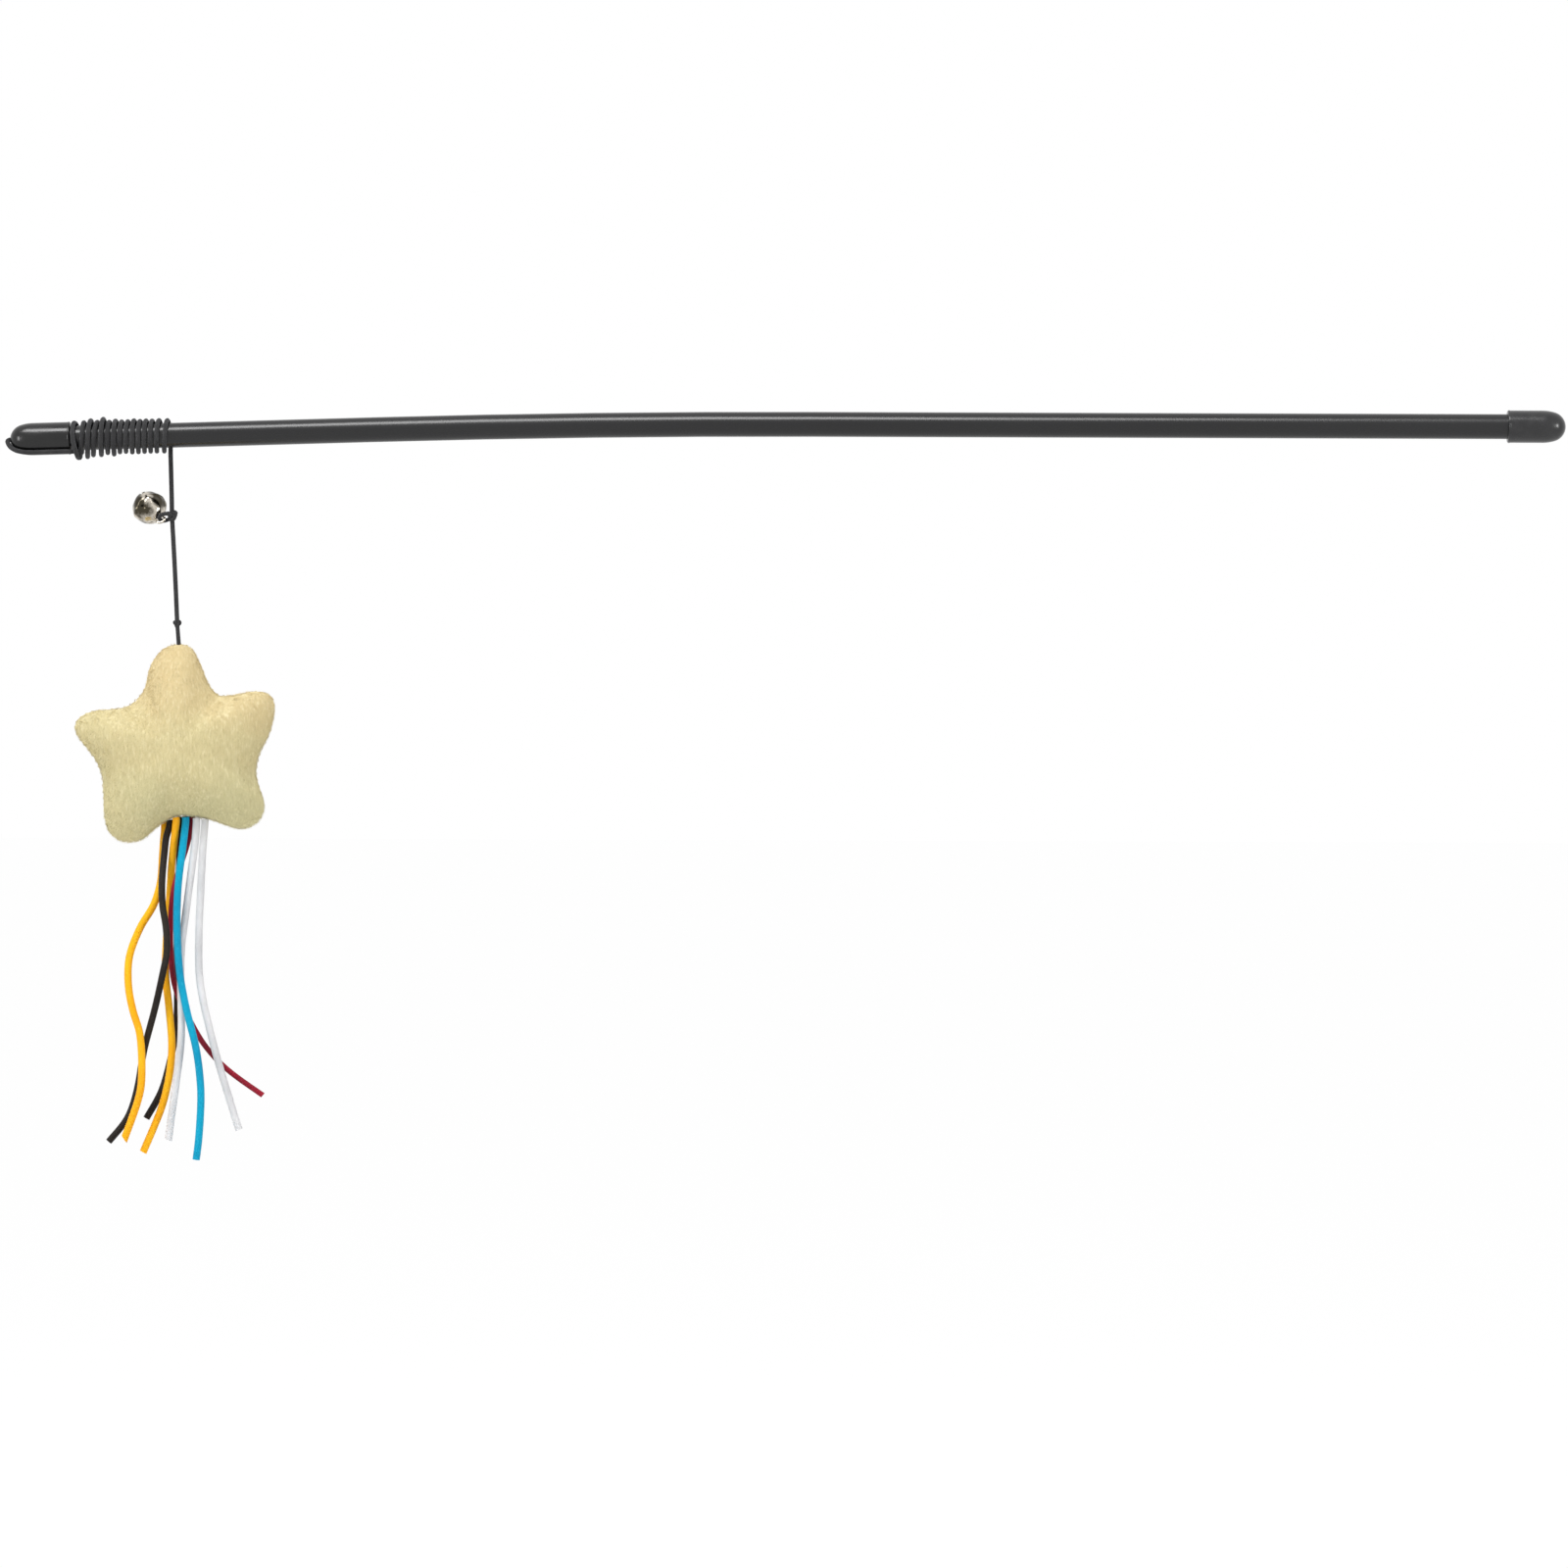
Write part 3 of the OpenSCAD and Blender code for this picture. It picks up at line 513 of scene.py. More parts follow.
# The hitch is (along the rod, above it, degrees round it), the first two in line diameters.
# The slack is (along, in turns; above, in line diameters) at each half turn. The upper part is
# the way down from the winding to the bell's knot, in mm.
line = {"d": 1.5 * mm, "gap": 0.1 * mm, "turns": 13, "pitch": 2.06 * mm, "rings": 20,
        "tailDrop": 5.55 * mm, "runDeg": -47, "holeGap": 0.1 * mm, "hitchLength": 2.87,
        "length": 0.532,
        "hitch": [(0.25, 0.85, -48), (0.65, 0.46, -53), (1.05, 0.08, -61), (1.70, 0.00, -72),
                  (2.12, 0.00, -95), (2.10, 0.00, -125), (1.80, 0.00, -180), (1.20, 0.00, -235),
                  (0.75, 0.00, -280), (0.64, 0.15, -325), (0.70, 0.80, -362), (1.10, 1.55, -390),
                  (1.45, 1.65, -412), (1.60, 1.38, -429), (1.98, 1.32, -430), (2.20, 0.90, -412),
                  (2.40, 0.35, -388), (2.62, 0.12, -355), (2.75, 0.05, -315)],
        "slack": [(-0.08, 0.90), (0.07, 0.40), (-0.17, 0.55), (0.10, 0.05), (0.07, 0.55),
                  (0.02, 0.65), (0.08, 0.15), (-0.05, 0.00), (0.05, 0.50), (-0.08, 0.20),
                  (-0.03, 0.05), (-0.13, 0.00), (-0.09, 0.00), (-0.16, 0.00), (-0.10, 0.15),
                  (-0.21, 0.15), (-0.14, 0.15), (-0.27, 0.00), (-0.20, 0.10), (-0.33, 0.05),
                  (-0.24, 0.10), (-0.38, 0.00), (-0.28, 0.10), (-0.31, 0.05), (-0.12, 0.15)],
        "upper": [(0.2, 0, -7), (0.4, 0, -14), (0.5, 0, -20)]}
lineRadius = line["d"] / 2
onRod = rod["radius"] + lineRadius + line["gap"]
onCap = cap["radius"] + lineRadius + line["gap"]
onNose = cap["noseRadius"] + lineRadius + line["gap"]
holeRadius = lineRadius + line["holeGap"]
firstTop = cap["length"] + line["hitchLength"] * line["d"]
tailAt = firstTop + line["pitch"] * (line["turns"] + 0.25)


def slackOf(half):
    if half < 1 or half >= 2 * line["turns"]:
        return 0.0, 0.0
    return line["slack"][int(half - 1) % len(line["slack"])]


# Points are (along the tip, off its axis, degrees round it) until the last loop.
def windingPath():
    run = line["runDeg"]
    # Out of the hole and round the nose
    knots = [(cap["wall"] + 0.4 * line["d"], 0, run), (0, 0, run)]
    for a in (30, 60, 90):
        a = math.radians(a)
        knots.append((-holeRadius * math.sin(a), holeRadius * (1 - math.cos(a)), run))
    for a in (24, 41, 58, 75):
        a = math.radians(a)
        knots.append((cap["noseRadius"] - onNose * math.cos(a), onNose * math.sin(a), run))
    # Along the cap, over its lip and into the hitch
    knots += [(cap["dome"] - cap["shoulder"] / 3, onCap, run),
              (cap["length"] - 2 * cap["lip"], onCap, run),
              (cap["length"] - cap["lip"] / 2, onCap + cap["lipRise"], run)]
    knots += [(cap["length"] + t * line["d"], onRod + r * line["d"], a)
              for t, r, a in line["hitch"]]
    knots.append((firstTop, onRod, -270))
    wound = []
    for i in range(len(knots) - 1):
        four = [knots[min(max(k, 0), len(knots) - 1)] for k in (i - 1, i, i + 1, i + 2)]
        steps = 6 if knots[i + 1][2] != knots[i][2] or i < 9 else 4
        wound += [between(*four, j / steps) for j in range(steps)]
    # The turns round the rod
    for i in range(round(line["rings"] * (line["turns"] + 0.25)) + 1):
        half, f = divmod(2 * i / line["rings"], 1)
        four = [(k / 2 + slackOf(k)[0],) for k in (half - 1, half, half + 1, half + 2)]
        lift = slackOf(half)[1] + (slackOf(half + 1)[1] - slackOf(half)[1]) * smoothStep(0, 1, f)
        wound.append((firstTop + line["pitch"] * between(*four, f)[0], onRod + line["d"] * lift,
                      -270 + 360 * i / line["rings"]))
    points = []
    for t, r, a in wound:
        a = math.radians(a)
        points.append(tipFrame @ Vector((t, -r * math.cos(a), r * math.sin(a))))
    for share in (0.3, 0.6):
        drop = share * line["tailDrop"]
        tail = (tailAt - drop * math.sin(bendAngle), onRod, -drop * math.cos(bendAngle))
        points.append(tipFrame @ Vector(tail))
    return points


swingAt = noseAt + Vector((tailAt * math.cos(bendAngle), onRod,
                           tailAt * math.sin(bendAngle) - line["tailDrop"]))
upperPoints = [swingAt + mm * Vector(p) for p in line["upper"]]
bellKnotAt = upperPoints[-1]
linePoints = windingPath() + [swingAt] + smoothRoute([swingAt] + upperPoints, 4)[1:]
elasticLine = cordPiece("elasticLine", linePoints, lineRadius, elasticMaterial, sides=14,
                        step=0.4 * mm)
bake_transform(elasticLine)
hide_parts("line_winding", "line_upper")
print("line", round(routeLengths(linePoints)[-1], 4), "swing", tuple(round(v, 5) for v in swingAt))


# A closed knot of three lobes round a point.
def knotPoints(middle, size, spin, steps=60):
    points = []
    for i in range(steps):
        t = 2 * math.pi * i / steps
        flat = Vector((math.sin(t) + 2 * math.sin(2 * t), math.cos(t) - 2 * math.cos(2 * t),
                       -1.5 * math.sin(3 * t)))
        points.append(middle + spin @ (flat * size / 3))
    return points


knot = {"d": 1.3 * mm, "starD": 1.0 * mm, "bellSize": 1.45 * mm, "starSize": 1.0 * mm,
        "anchorSize": 1.15 * mm, "anchorDepth": 1.9 * mm, "tail": (1.5, -0.9, 1.1)}
bellKnotPoints = knotPoints(bellKnotAt, knot["bellSize"], turn(70, 0, 20))
bellKnot = cordPiece("bellKnot", bellKnotPoints, knot["d"] / 2, elasticMaterial, sides=14,
                     closed=True)
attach(bellKnot, "hanging_line")
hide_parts("bell_knot")
anchorAt = tipFrame @ Vector((cap["wall"] + knot["anchorDepth"], 0, 0))
anchorKnotPoints = knotPoints(anchorAt, knot["anchorSize"], turn(0, 90, 0))
anchorKnot = cordPiece("anchorKnot", anchorKnotPoints, knot["d"] / 2, elasticMaterial, sides=12,
                       closed=True)
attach(anchorKnot, "wand")
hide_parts("anchor_knot")

# The cut end that stands out of the bell's knot
tailPoints = [bellKnotAt + share * mm * Vector(knot["tail"]) for share in (0.0, 0.6, 1.0)]
bellKnotTail = cordPiece("bellKnotTail", tailPoints, knot["d"] / 2, elasticMaterial, sides=12)
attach(bellKnotTail, "hanging_line")

# The lower line, from the bell's knot to the star's, its route in mm
lower = {"route": [(0, 0, 0), (0.7, 0, -12), (1.3, 0, -23.5), (1.8, 0, -34.7)], "length": 0.0348}
lowerPoints = [bellKnotAt + p * mm for p in smoothRoute([Vector(p) for p in lower["route"]], 8)]
starKnotAt = lowerPoints[-1]
lowerLine = cordPiece("lowerLine", lowerPoints, lineRadius, elasticMaterial, sides=14)
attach(lowerLine, "lower_line")
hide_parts("line_lower")
starKnotPoints = knotPoints(starKnotAt, knot["starSize"], turn(80, 0, 0))
starKnot = cordPiece("starKnot", starKnotPoints, knot["starD"] / 2, elasticMaterial, sides=12,
                     closed=True)
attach(starKnot, "lower_line")
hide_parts("star_knot")

# Bell

# petalFlat, dent and bead are shares of the radius.
bell = {"r": 5.55 * mm, "wall": 0.4 * mm, "slot": 1 * mm, "slotEnd": 1.7 * mm, "slotDeg": 64,
        "over": 1 * mm, "petalFlat": 0.085, "dent": 0.03, "bead": 0.03, "beadWidth": 0.04,
        "loopD": 1.3 * mm, "reach": 4.12 * mm, "lean": 113.4}
loopFrame = (Matrix.Translation(bellKnotAt) @ turn(0, 123, -50) @ turn(0, 0, 36)
             @ turn(bell["lean"], 0, 0) @ Matrix.Translation((0, 0, bell["reach"])))
bellFrame = (loopFrame @ turn(-bell["lean"], 0, 0)
             @ Matrix.Translation((0, 0, -(bell["r"] + bell["loopD"] / 2 + bell["wall"]))))
loopPoints = []
for i in range(28):
    a = 2 * math.pi * i / 28
    onLoop = (0.36 * bell["reach"] * math.sin(a), 0.12 * mm * math.sin(2 * a),
              -0.47 * bell["reach"] * (1 - math.cos(a)))
    loopPoints.append(loopFrame @ Vector(onLoop))
bellLoop = cordPiece("bellLoop", loopPoints, bell["loopD"] / 2, elasticMaterial, sides=14,
                     closed=True)
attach(bellLoop, "hanging_line")
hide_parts("bell_loop")


def cutFrom(piece, cutters):
    for cutter in cutters:
        modifier = piece.modifiers.new("cut", "BOOLEAN")
        modifier.object = cutter
        modifier.solver = "EXACT"
        settle(piece)
        bpy.data.objects.remove(cutter)


# Nothing along the slots, and most in the middle of the four petals between them.
def onPetal(way, most):
    return most * abs(math.sin(2 * math.atan2(way.y, way.x))) * (way.x ** 2 + way.y ** 2)


def makeBell():
    bm = bmesh.new()
    bmesh.ops.create_uvsphere(bm, u_segments=96, v_segments=48, radius=bell["r"])
    for v in bm.verts:
        way = v.co.normalized()
        flat = onPetal(way, bell["petalFlat"])
        dent = bell["dent"] * noise.noise(way * 2.4)
        # The two stamped halves meet in a low bead.
        bead = bell["bead"] * math.exp(-(way.z / bell["beadWidth"]) ** 2)
        v.co = way * bell["r"] * (1.01 - flat + dent + bead)
    shell = addMesh("bellShell", bm)
    solid = shell.modifiers.new("sheet", "SOLIDIFY")
    solid.thickness = bell["wall"]
    solid.offset = -1
    settle(shell)
    # Two crossed slots, and the round hole at each of their four ends
    cutters = []
    depth = bell["r"] * (1 - math.cos(math.radians(bell["slotDeg"])))
    cut = depth + bell["over"]
    for spin in (0, 90):
        bm = bmesh.new()
        bmesh.ops.create_cube(bm, size=1.0)
        bm.transform(turn(0, 0, spin)
                     @ Matrix.Translation((0, 0, -bell["r"] - bell["over"] + cut / 2))
                     @ Matrix.Diagonal((bell["r"] * 2.4, bell["slot"], cut, 1)))
        cutters.append(addMesh("cutter", bm, False))
    hole = bell["slotEnd"] / 2
    for spin in range(0, 360, 90):
        bm = bmesh.new()
        bmesh.ops.create_cone(bm, cap_ends=True, segments=24, radius1=hole, radius2=hole,
                              depth=bell["r"])
        bm.transform(turn(0, 180 - bell["slotDeg"], spin) @ Matrix.Translation((0, 0, bell["r"])))
        cutters.append(addMesh("cutter", bm, False))
    cutFrom(shell, cutters)
    # The petal share places the painted dark reflection on the flat petals.
    petal = shell.data.attributes.new("petal", "FLOAT", "POINT")
    for v in shell.data.vertices:
        petal.data[v.index].value = onPetal(v.co.normalized(), 1.0)
    shell.data.transform(bellFrame)
    shell.data.materials.append(bellMaterial)
    shell.data.set_sharp_from_angle(angle=math.radians(40))
    return shell


bellShell = makeBell()
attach(bellShell, "bell")
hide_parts("bell_shell")
print("bell made")

# Star

# The outline is (degrees, share of the radius) round the star's middle.
star = {"r": 35.2 * mm, "half": 10.5 * mm, "cloth": 0.8 * mm, "loopLength": 6.3 * mm,
        "topDeg": 89, "top": 0.975,
        "outline": [(0, 0.785), (9, 0.86), (19, 0.945), (27, 1.0), (32, 0.98), (37, 0.90),
                    (42, 0.77), (49, 0.665), (56, 0.64), (66, 0.695), (76, 0.84), (82, 0.945),
                    (89, 0.975), (98, 0.93), (107, 0.815), (117, 0.645), (129, 0.60),
                    (140, 0.62), (150, 0.74), (157, 0.88), (165, 0.96), (172, 0.92),
                    (181, 0.805), (191, 0.74), (202, 0.74), (214, 0.81), (226, 0.935),
                    (234, 0.985), (242, 0.96), (249, 0.88), (256, 0.735), (267, 0.635),
                    (279, 0.625), (295, 0.71), (303, 0.82), (309, 0.93), (315, 0.985),
                    (322, 0.995), (329, 0.94), (337, 0.825), (345, 0.765), (357, 0.77)]}
starTopAt = starKnotAt + star["loopLength"] * Vector((0.08, 0, -1))
topAngle = math.radians(star["topDeg"])
starAt = starTopAt - star["r"] * star["top"] * Vector((math.cos(topAngle), 0, math.sin(topAngle)))


# The star's edge in its own plane, smoothed, as (x, z).
def outlinePoints(inset=0.0, steps=4):
    r = star["r"] - inset
    flat = [(r * s * math.cos(math.radians(a)), r * s * math.sin(math.radians(a)))
            for a, s in star["outline"]]
    n = len(flat)
    points = []
    for i in range(n):
        four = [flat[(i + k) % n] for k in (-1, 0, 1, 2)]
        points += [between(*four, j / steps) for j in range(steps)]
    return points


# How thick the star is, from its middle (0) to its edge (1).
def puff(share):
    return max(0.0, 1 - share ** 2.2) ** 0.62


def starBody(name, inset):
    edge = outlinePoints(inset)
    shares = [0.1, 0.2, 0.3, 0.4, 0.5, 0.6, 0.68, 0.75, 0.81, 0.86, 0.9, 0.93, 0.955, 0.975,
              0.99, 1.0]
    bm = bmesh.new()
    rings = {}
    for side in (-1, 1):
        rings[side] = []
        for share in shares:
            if share == 1.0 and side == 1:
                rings[side].append(rings[-1][-1])
                continue
            y = side * puff(share) * (star["half"] - inset)
            rings[side].append([bm.verts.new((share * x, y, share * z)) for x, z in edge])
        pole = bm.verts.new((0, side * (star["half"] - inset), 0))
        n = len(edge)
        for k in range(n):
            bm.faces.new((pole, rings[side][0][k], rings[side][0][(k + 1) % n]))
            for a, b in zip(rings[side], rings[side][1:]):
                bm.faces.new((a[k], b[k], b[(k + 1) % n], a[(k + 1) % n]))
    bmesh.ops.recalc_face_normals(bm, faces=bm.faces)
    bm.transform(Matrix.Translation(starAt))
    return addMesh(name, bm)


def remesh(piece, size):
    modifier = piece.modifiers.new("even", "REMESH")
    modifier.mode = "VOXEL"
    modifier.voxel_size = size
    modifier.use_smooth_shade = True
    settle(piece)


# A short cloth run under pressure, with each point held near where it was.
def inflate(piece, frames, pressure, travel):
    rest = [v.co.copy() for v in piece.data.vertices]
    modifier = piece.modifiers.new("cloth", "CLOTH")
    cloth = modifier.settings
    cloth.quality = 6
    cloth.mass = 0.05
    cloth.tension_stiffness = 12
    cloth.compression_stiffness = 12
    cloth.shear_stiffness = 4
    cloth.bending_stiffness = 0.4
    cloth.use_pressure = True
    cloth.uniform_pressure_force = pressure
    cloth.effector_weights.gravity = 0
    modifier.collision_settings.use_self_collision = False
    modifier.collision_settings.use_collision = False
    modifier.point_cache.frame_start = 1
    modifier.point_cache.frame_end = frames
    for f in range(1, frames + 1):
        scene.frame_set(f)
    settle(piece)
    scene.frame_set(1)
    for v, old in zip(piece.data.vertices, rest):
        move = v.co - old
        if move.length > travel:
            v.co = old + move.normalized() * travel


# One panel of the cover: its outer face, cut at the seam, with the cloth's thickness inward.
def halfOf(cover, name, side):
    bm = bmesh.new()
    bm.from_mesh(cover.data)
    geometry = bm.verts[:] + bm.edges[:] + bm.faces[:]
    bmesh.ops.bisect_plane(bm, geom=geometry, plane_co=starAt, plane_no=(0, side, 0),
                           clear_inner=True)
    piece = addMesh(name, bm)
    solid = piece.modifiers.new("cloth", "SOLIDIFY")
    solid.thickness = star["cloth"]
    solid.offset = -1
    settle(piece)
    piece.data.materials.clear()
    piece.data.materials.append(plushMaterial)
    piece.data.shade_smooth()
    useTree(piece, pileTree,
            {"Density": plushLook["fibres"] * 1.0,
             "Length": plushLook["fibre"], "Radius": plushLook["fibreRadius"],
             "Lean": plushLook["lean"], "Outward": (0, side, 0), "Material": plushMaterial})
    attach(piece, "star")
    return piece


seam = {"pitch": 2.1 * mm, "reach": 0.6 * mm, "inset": 0.5 * mm, "radius": 0.12 * mm,
        "pull": 0.3 * mm, "pullWidth": 0.9 * mm}
starCover = starBody("starCover", -0.45 * mm)
remesh(starCover, 1.1 * mm)
inflate(starCover, 20, 4.0, 0.7 * mm)
# The seam draws the edge in a little.
for v in starCover.data.vertices:
    near = v.co.y - starAt.y
    pull = math.exp(-(near / seam["pullWidth"]) ** 2)
    out = Vector((v.co.x - starAt.x, 0, v.co.z - starAt.z)).normalized()
    v.co -= out * pull * seam["pull"]
smoother = starCover.modifiers.new("fine", "SUBSURF")
smoother.levels = 1
settle(starCover)
starFront = halfOf(starCover, "starFront", -1)
starBack = halfOf(starCover, "starBack", 1)
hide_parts("star_front")
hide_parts("star_back")
bpy.data.objects.remove(starCover)
starFilling = starBody("starFilling", 2.2 * mm)
remesh(starFilling, 1.8 * mm)
starFilling.data.materials.append(fillingMaterial)
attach(starFilling, "star")
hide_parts("star_filling")


# A whipped thread round the star's edge: from the front, over the seam, to the back.
def seamPoints():
    edge = [starAt + Vector((x, 0, z)) for x, z in outlinePoints(0.1 * mm, 8)]
    edge.append(edge[0])
    lengths = routeLengths(edge)
    count = round(lengths[-1] / seam["pitch"])
    points = []
    k = 0
    for i in range(count):
        for part, depth, inset in ((0.0, -1, 1), (0.25, 0, 0), (0.5, 1, 1)):
            s = lengths[-1] * (i + part) / count
            while lengths[k + 1] < s:
                k += 1
            at = edge[k].lerp(edge[k + 1], (s - lengths[k]) / (lengths[k + 1] - lengths[k]))
            out = (at - starAt).normalized()
            points.append(at - out * inset * seam["inset"] + Vector((0, depth * seam["reach"], 0)))
    return points


seamThread = cordPiece("seamThread", seamPoints(), seam["radius"], threadMaterial, sides=6,
                       step=0.3 * mm, closed=True)
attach(seamThread, "star")

# Two legs of line, from the star's knot into its top point
hang = {"d": 1.3 * mm, "span": 1.3 * mm, "depth": 3 * mm}
legs = []
down = (starTopAt - starKnotAt).normalized()
for i in range(25):
    f = i / 12 - 1
    side = hang["span"] / 2 * (1 - (1 - abs(f)) ** 3) * (1 if f > 0 else -1)
    at = starKnotAt.lerp(starTopAt + down * hang["depth"], abs(f))
    legs.append(at + Vector((0, side, 0)))
starLoop = cordPiece("starLoop", legs, hang["d"] / 2, elasticMaterial, sides=14)
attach(starLoop, "star")
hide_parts("star_loop")
print("star made")

# Tassel

tassel = {"step": 2.7 * mm, "row": 1.3 * mm, "seat": 0.45 * mm}
bottom = [(s * math.cos(math.radians(a)), s * math.sin(math.radians(a)))
          for a, s in star["outline"] if 240 < a < 320]


# The star's lower edge at x, both as shares of its radius.
def seamHeight(x):
    for a, b in zip(bottom, bottom[1:]):
        if a[0] <= x <= b[0]:
            return a[1] + (b[1] - a[1]) * (x - a[0]) / (b[0] - a[0])


# Radius along a strand: even, then the shape of its cut or melted end.
def endShares(points, radius, end):
    lengths = routeLengths(points)
    whole = lengths[-1]
    shares = []
    for s in lengths:
        left = whole - s
        # The strands are a little thinner towards their ends.
        share = 1.1 - 0.14 * smoothStep(0.0, 0.35, s / whole)
        share -= 0.12 * smoothStep(0.4, 1.0, s / whole)
        share *= 1 + 0.03 * math.sin(s * 210 + whole * 900) + 0.02 * math.sin(s * 530)
        if end["flare"]:
            share *= 1 + end["flare"] * smoothStep(end["flareLength"], 0.0, left)
        if end["round"] and left < radius * end["round"]:
            f = 1 - left / (radius * end["round"])
            share *= math.sqrt(max(0.02, 1 - f * f))
        shares.append(share)
    return shares


# Each hangs from a place in a row under the star: share and row say where, in steps of the
# tassel. The route is in mm from the root, and rise is how far the root goes up into the star.
strands = [
    {"name": "yellowStrandLeft", "node": "yellow_strand_left", "body": ("tassel", "left_cords"),
     "share": -1.455, "row": 1.8, "d": 2.4 * mm, "material": yellowMaterial,
     "slot": "yellow_cord", "length": 0.106, "rise": 3.0, "flare": 0.0, "flareLength": 5 * mm,
     "round": 0.0, "cut": 0.7,
     "route": [(0, 0, 0), (-0.4, 0.8, -4), (-0.7, 0.6, -9), (-1.2, -0.5, -17),
               (-3.4, -1.1, -24.5), (-7.7, -2.1, -32), (-10.9, -3.3, -41), (-11.1, -4.6, -50),
               (-9.6, -5.6, -58), (-7.2, -6.3, -66), (-6.5, -6.9, -77), (-7.4, -6.9, -86),
               (-12.1, -6.4, -99.5)]},
    {"name": "blackStrandLeft", "node": "black_strand_left", "body": ("tassel", "left_cords"),
     "share": -0.8, "row": 0.3, "d": 2.2 * mm, "material": blackMaterial,
     "slot": "black_cord", "length": 0.108, "rise": 1.9, "flare": 0.0, "flareLength": 5 * mm,
     "round": 1.0, "cut": 0.0,
     "route": [(0, 0, 0), (-1, -0.3, -3.5), (-1.5, -1, -8), (-2.1, -3.8, -18),
               (-1.8, -4.8, -25.5), (-0.6, -5.2, -33), (-0.4, -5.2, -40.5), (-1.7, -5, -47.5),
               (-4.2, -3.8, -58.5), (-7.8, -2, -72), (-10.1, -1.7, -85), (-13.2, -1.7, -94),
               (-19.1, -1.7, -101.5)]},
    {"name": "yellowStrandRight", "node": "yellow_strand_right", "body": ("star", "tassel"),
     "share": 0, "row": -1, "d": 2.4 * mm, "material": yellowMaterial,
     "slot": "yellow_cord", "length": 0.109, "rise": 1.9, "flare": 0.18, "flareLength": 5 * mm,
     "round": 0.0, "cut": 0.1,
     "route": [(0, 0, 0), (-1.3, 1.5, -11.5), (-1.8, 1.9, -19), (-2.3, 2, -27),
               (-3.1, 1.5, -38), (-3.3, 1.5, -48.5), (-2.1, 1.5, -59.5), (-1.2, 1.5, -70.5),
               (-1.6, 1.5, -78), (-2.9, 1.5, -85.5), (-5.1, 1.5, -93), (-10.3, 1.5, -105.5)]},
    {"name": "blackStrandRear", "node": "black_strand_rear", "body": ("tassel", "black_cord"),
     "share": 0.385, "row": 1, "d": 2.2 * mm, "material": blackMaterial,
     "slot": "black_cord", "length": 0.099, "rise": 1.9, "flare": 0.0, "flareLength": 5 * mm,
     "round": 1.0, "cut": 0.0,
     "route": [(0, 0, 0), (-0.2, 1.5, -12), (-0.6, 2, -20), (-1, 2, -34), (-0.8, 2, -49),
               (-0.9, 2, -63), (-1.7, 2, -70), (-2.8, 2, -75.5), (-5.7, 2, -86),
               (-10.6, 2, -95)]},
    {"name": "blueStrand", "node": "blue_strand", "body": ("tassel", "blue_cord"),
     "share": 1.152, "row": -1, "d": 2.4 * mm, "material": blueMaterial,
     "slot": "blue_cord", "length": 0.111, "rise": 1.9, "flare": 0.16, "flareLength": 3 * mm,
     "round": 0.8, "cut": 0.0,
     "route": [(0, 0, 0), (-0.8, -1.5, -8), (-2, -3.2, -19), (-2.4, -4, -29), (-2.2, -4, -38),
               (-1.3, -4, -49), (0.8, -4, -60), (3.6, -4, -71), (5, -4, -80), (5.5, -4, -89),
               (4.9, -4, -100.5), (4, -3.5, -108)]},
    {"name": "redStrand", "node": "red_strand", "body": ("star", "tassel"),
     "share": 1.804, "row": 1, "d": 1.8 * mm, "material": redMaterial,
     "slot": "red_cord", "length": 0.102, "rise": 1.9, "flare": 0.25, "flareLength": 5 * mm,
     "round": 0.0, "cut": 0.1,
     "route": [(0, 0, 0), (-1.3, -1, -7), (-5.1, -3.5, -20), (-6.3, -3.5, -30),
               (-6.3, -3.5, -42), (-4.8, -0.5, -54), (1.2, -0.5, -66.5), (6.3, -0.5, -74),
               (12.8, -0.5, -80.3), (23.2, -0.5, -87.7)]},
    {"name": "whiteStrandLeft", "node": "white_strand_left", "body": ("star", "tassel"),
     "share": 2.435, "row": -1, "d": 2.4 * mm, "material": whiteMaterial,
     "slot": "white_cord", "length": 0.104, "rise": 1.9, "flare": 0.05, "flareLength": 4 * mm,
     "round": 0.3, "cut": 0.2,
     "route": [(0, 0, 0), (-0.6, -0.5, -8), (-2, -1, -19), (-3.4, -1, -30), (-4.6, -1, -40),
               (-4.8, -1, -50), (-4.5, -1, -63.5), (-4.8, -1, -72), (-5.9, -1, -81),
               (-7.5, -1, -93), (-8.6, -1, -101.5)]},
    {"name": "whiteStrandRight", "node": "white_strand_right", "body": ("tassel", "white_cord"),
     "share": 3.435, "row": -1, "d": 2.4 * mm, "material": whiteMaterial,
     "slot": "white_cord", "length": 0.102, "rise": 1.9, "flare": 0.2, "flareLength": 6 * mm,
     "round": 0.0, "cut": -0.1,
     "route": [(0, 0, 0), (-0.6, -0.2, -8), (-1.2, -0.5, -21), (-1.7, -1, -35),
               (-1.6, -1, -47), (-0.3, -1.5, -56), (1.9, -1.5, -65.5), (4.4, -1.5, -75),
               (7.7, -1.5, -86), (11.4, -1.5, -97.8)]},
]
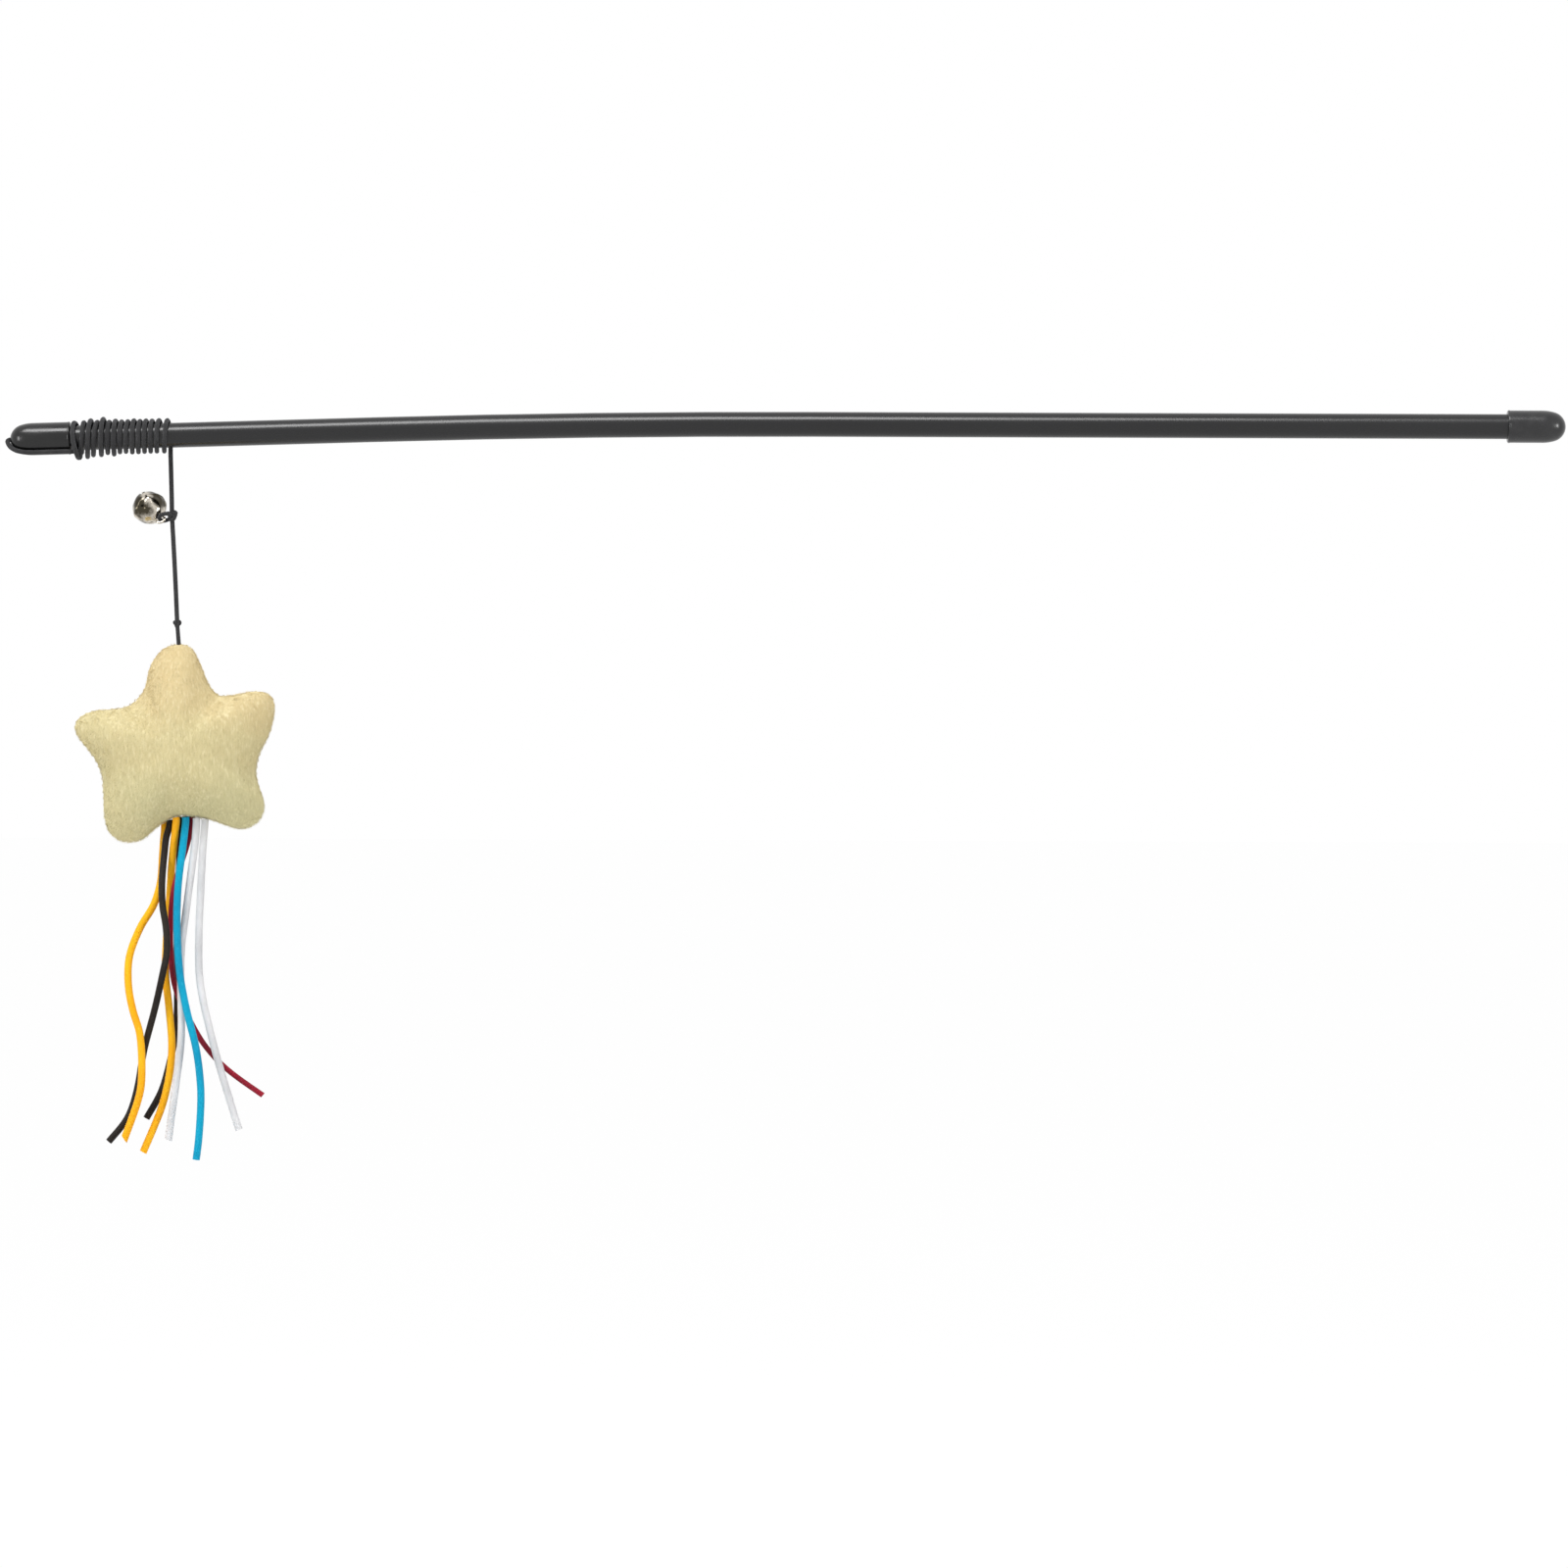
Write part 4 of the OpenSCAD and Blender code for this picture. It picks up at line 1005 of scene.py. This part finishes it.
for strand in strands:
    x = strand["share"] * tassel["step"]
    height = star["r"] * seamHeight(x / star["r"]) - strand["d"] / 2 - tassel["seat"]
    root = starAt + Vector((x, strand["row"] * tassel["row"], height))
    route = [Vector((0, 0, strand["rise"]))] + [Vector(p) for p in strand["route"]]
    points = [root + p * mm for p in smoothRoute(route, 5)]
    # Rings close up at the end, so that its shape is kept.
    a, b = points[-2], points[-1]
    points[-1:] = [a.lerp(b, f) for f in (0.3, 0.55, 0.75, 0.88, 0.95, 1.0)]
    radius = strand["d"] / 2
    piece = cordPiece(strand["name"], points, radius, strand["material"],
                      endShares(points, radius, strand), sides=18, step=0.5 * mm, lumps=0.05,
                      lumpSize=260.0)
    if strand["cut"]:
        # The end is cut on a slant.
        heading = (points[-1] - points[-3]).normalized()
        side = heading.cross(Vector((0, 1, 0)))
        for v in piece.data.vertices:
            along = (v.co - points[-1]).dot(heading)
            if along > -4 * mm:
                slant = heading * strand["cut"] * (v.co - points[-1]).dot(side)
                v.co += slant * smoothStep(-4 * mm, 0.0, along)
    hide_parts(strand["node"])
    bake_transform(piece)
    print(strand["name"], round(routeLengths(points)[-1], 4), tuple(round(v, 5) for v in root))

print("tassel made")

# Camera, floor and light

view = {"middle": (-0.23785, -0.1154), "width": 0.503, "lens": 180.0, "rollDeg": -0.188}
camera = bpy.data.objects.new("camera", bpy.data.cameras.new("camera"))
camera.data.lens = view["lens"]
camera.data.clip_end = 200
away = view["lens"] * view["width"] / 36
camera.location = (view["middle"][0], -away, view["middle"][1])
camera.rotation_euler = (math.pi / 2, math.radians(view["rollDeg"]), 0)
scene.collection.objects.link(camera)
scene.camera = camera

# The world is dim in front of the object and bright behind it. Only the camera and rays off
# gloss and through glass see it white, and the floor too.
studio = {"turnsAt": (-0.6, 0.5), "levels": (0.16, 0.85), "floorAt": -0.42, "floorSize": 40,
          "floorGlow": 1.03, "floorShare": 0.93, "aim": (-0.3, 0, -0.08)}
whiteRays = ("Is Camera Ray", "Is Glossy Ray", "Is Transmission Ray")
world = bpy.data.worlds.new("studio")
scene.world = world
world.use_nodes = True
nodes, links = world.node_tree.nodes, world.node_tree.links
background = nodes["Background"]
rays = nodes.new("ShaderNodeLightPath")
direction = nodes.new("ShaderNodeTexCoord")
parts = nodes.new("ShaderNodeSeparateXYZ")
links.new(direction.outputs["Generated"], parts.inputs[0])
behind = nodes.new("ShaderNodeMapRange")
behind.inputs["From Min"].default_value, behind.inputs["From Max"].default_value = studio["turnsAt"]
behind.inputs["To Min"].default_value, behind.inputs["To Max"].default_value = studio["levels"]
links.new(parts.outputs["Y"], behind.inputs["Value"])
level = behind.outputs["Result"]
for ray in whiteRays:
    brighter = nodes.new("ShaderNodeMath")
    brighter.operation = "MAXIMUM"
    links.new(level, brighter.inputs[0])
    links.new(rays.outputs[ray], brighter.inputs[1])
    level = brighter.outputs[0]
links.new(level, background.inputs["Strength"])
background.inputs["Color"].default_value = (1, 1, 1, 1)

bm = bmesh.new()
bmesh.ops.create_grid(bm, x_segments=1, y_segments=1, size=studio["floorSize"])
floor = addMesh("floor", bm, False)
floor.location = (view["middle"][0], 0, studio["floorAt"])
ground = Shader("floor")
ground.set(color=(0.86, 0.86, 0.86, 1), rough=0.9, specular=0.1)
glow = ground.node("Emission", {"Color": (1, 1, 1, 1), "Strength": studio["floorGlow"]})
floorRays = ground.node("LightPath")
white = 0.0
for ray in whiteRays:
    white = ground.math("MAXIMUM", floorRays.outputs[ray], white)
# The rest of the floor keeps the object's shadow.
share = ground.math("MULTIPLY", white, studio["floorShare"])
both = ground.node("MixShader", {0: share, 1: ground.surface.outputs[0], 2: glow.outputs[0]})
ground.links.new(both.outputs[0], ground.nodes["Material Output"].inputs["Surface"])
floor.data.materials.append(ground.material)

lamps = [
    {"name": "topBox", "at": (-0.6, -0.75, 1.35), "size": (1.2, 0.5), "power": 24},
    {"name": "leftBox", "at": (-1.55, -0.95, 0.1), "size": (0.35, 0.6), "power": 6},
    {"name": "rightBox", "at": (1.1, -0.95, 0.15), "size": (0.35, 0.5), "power": 7},
]
for lamp in lamps:
    light = bpy.data.lights.new(lamp["name"], "AREA")
    light.shape = "RECTANGLE"
    light.size, light.size_y = lamp["size"]
    light.energy = lamp["power"]
    held = bpy.data.objects.new(lamp["name"], light)
    held.location = lamp["at"]
    toward = Vector(studio["aim"]) - Vector(lamp["at"])
    held.rotation_euler = toward.to_track_quat("-Z", "Y").to_euler()
    scene.collection.objects.link(held)

print("scene ready")
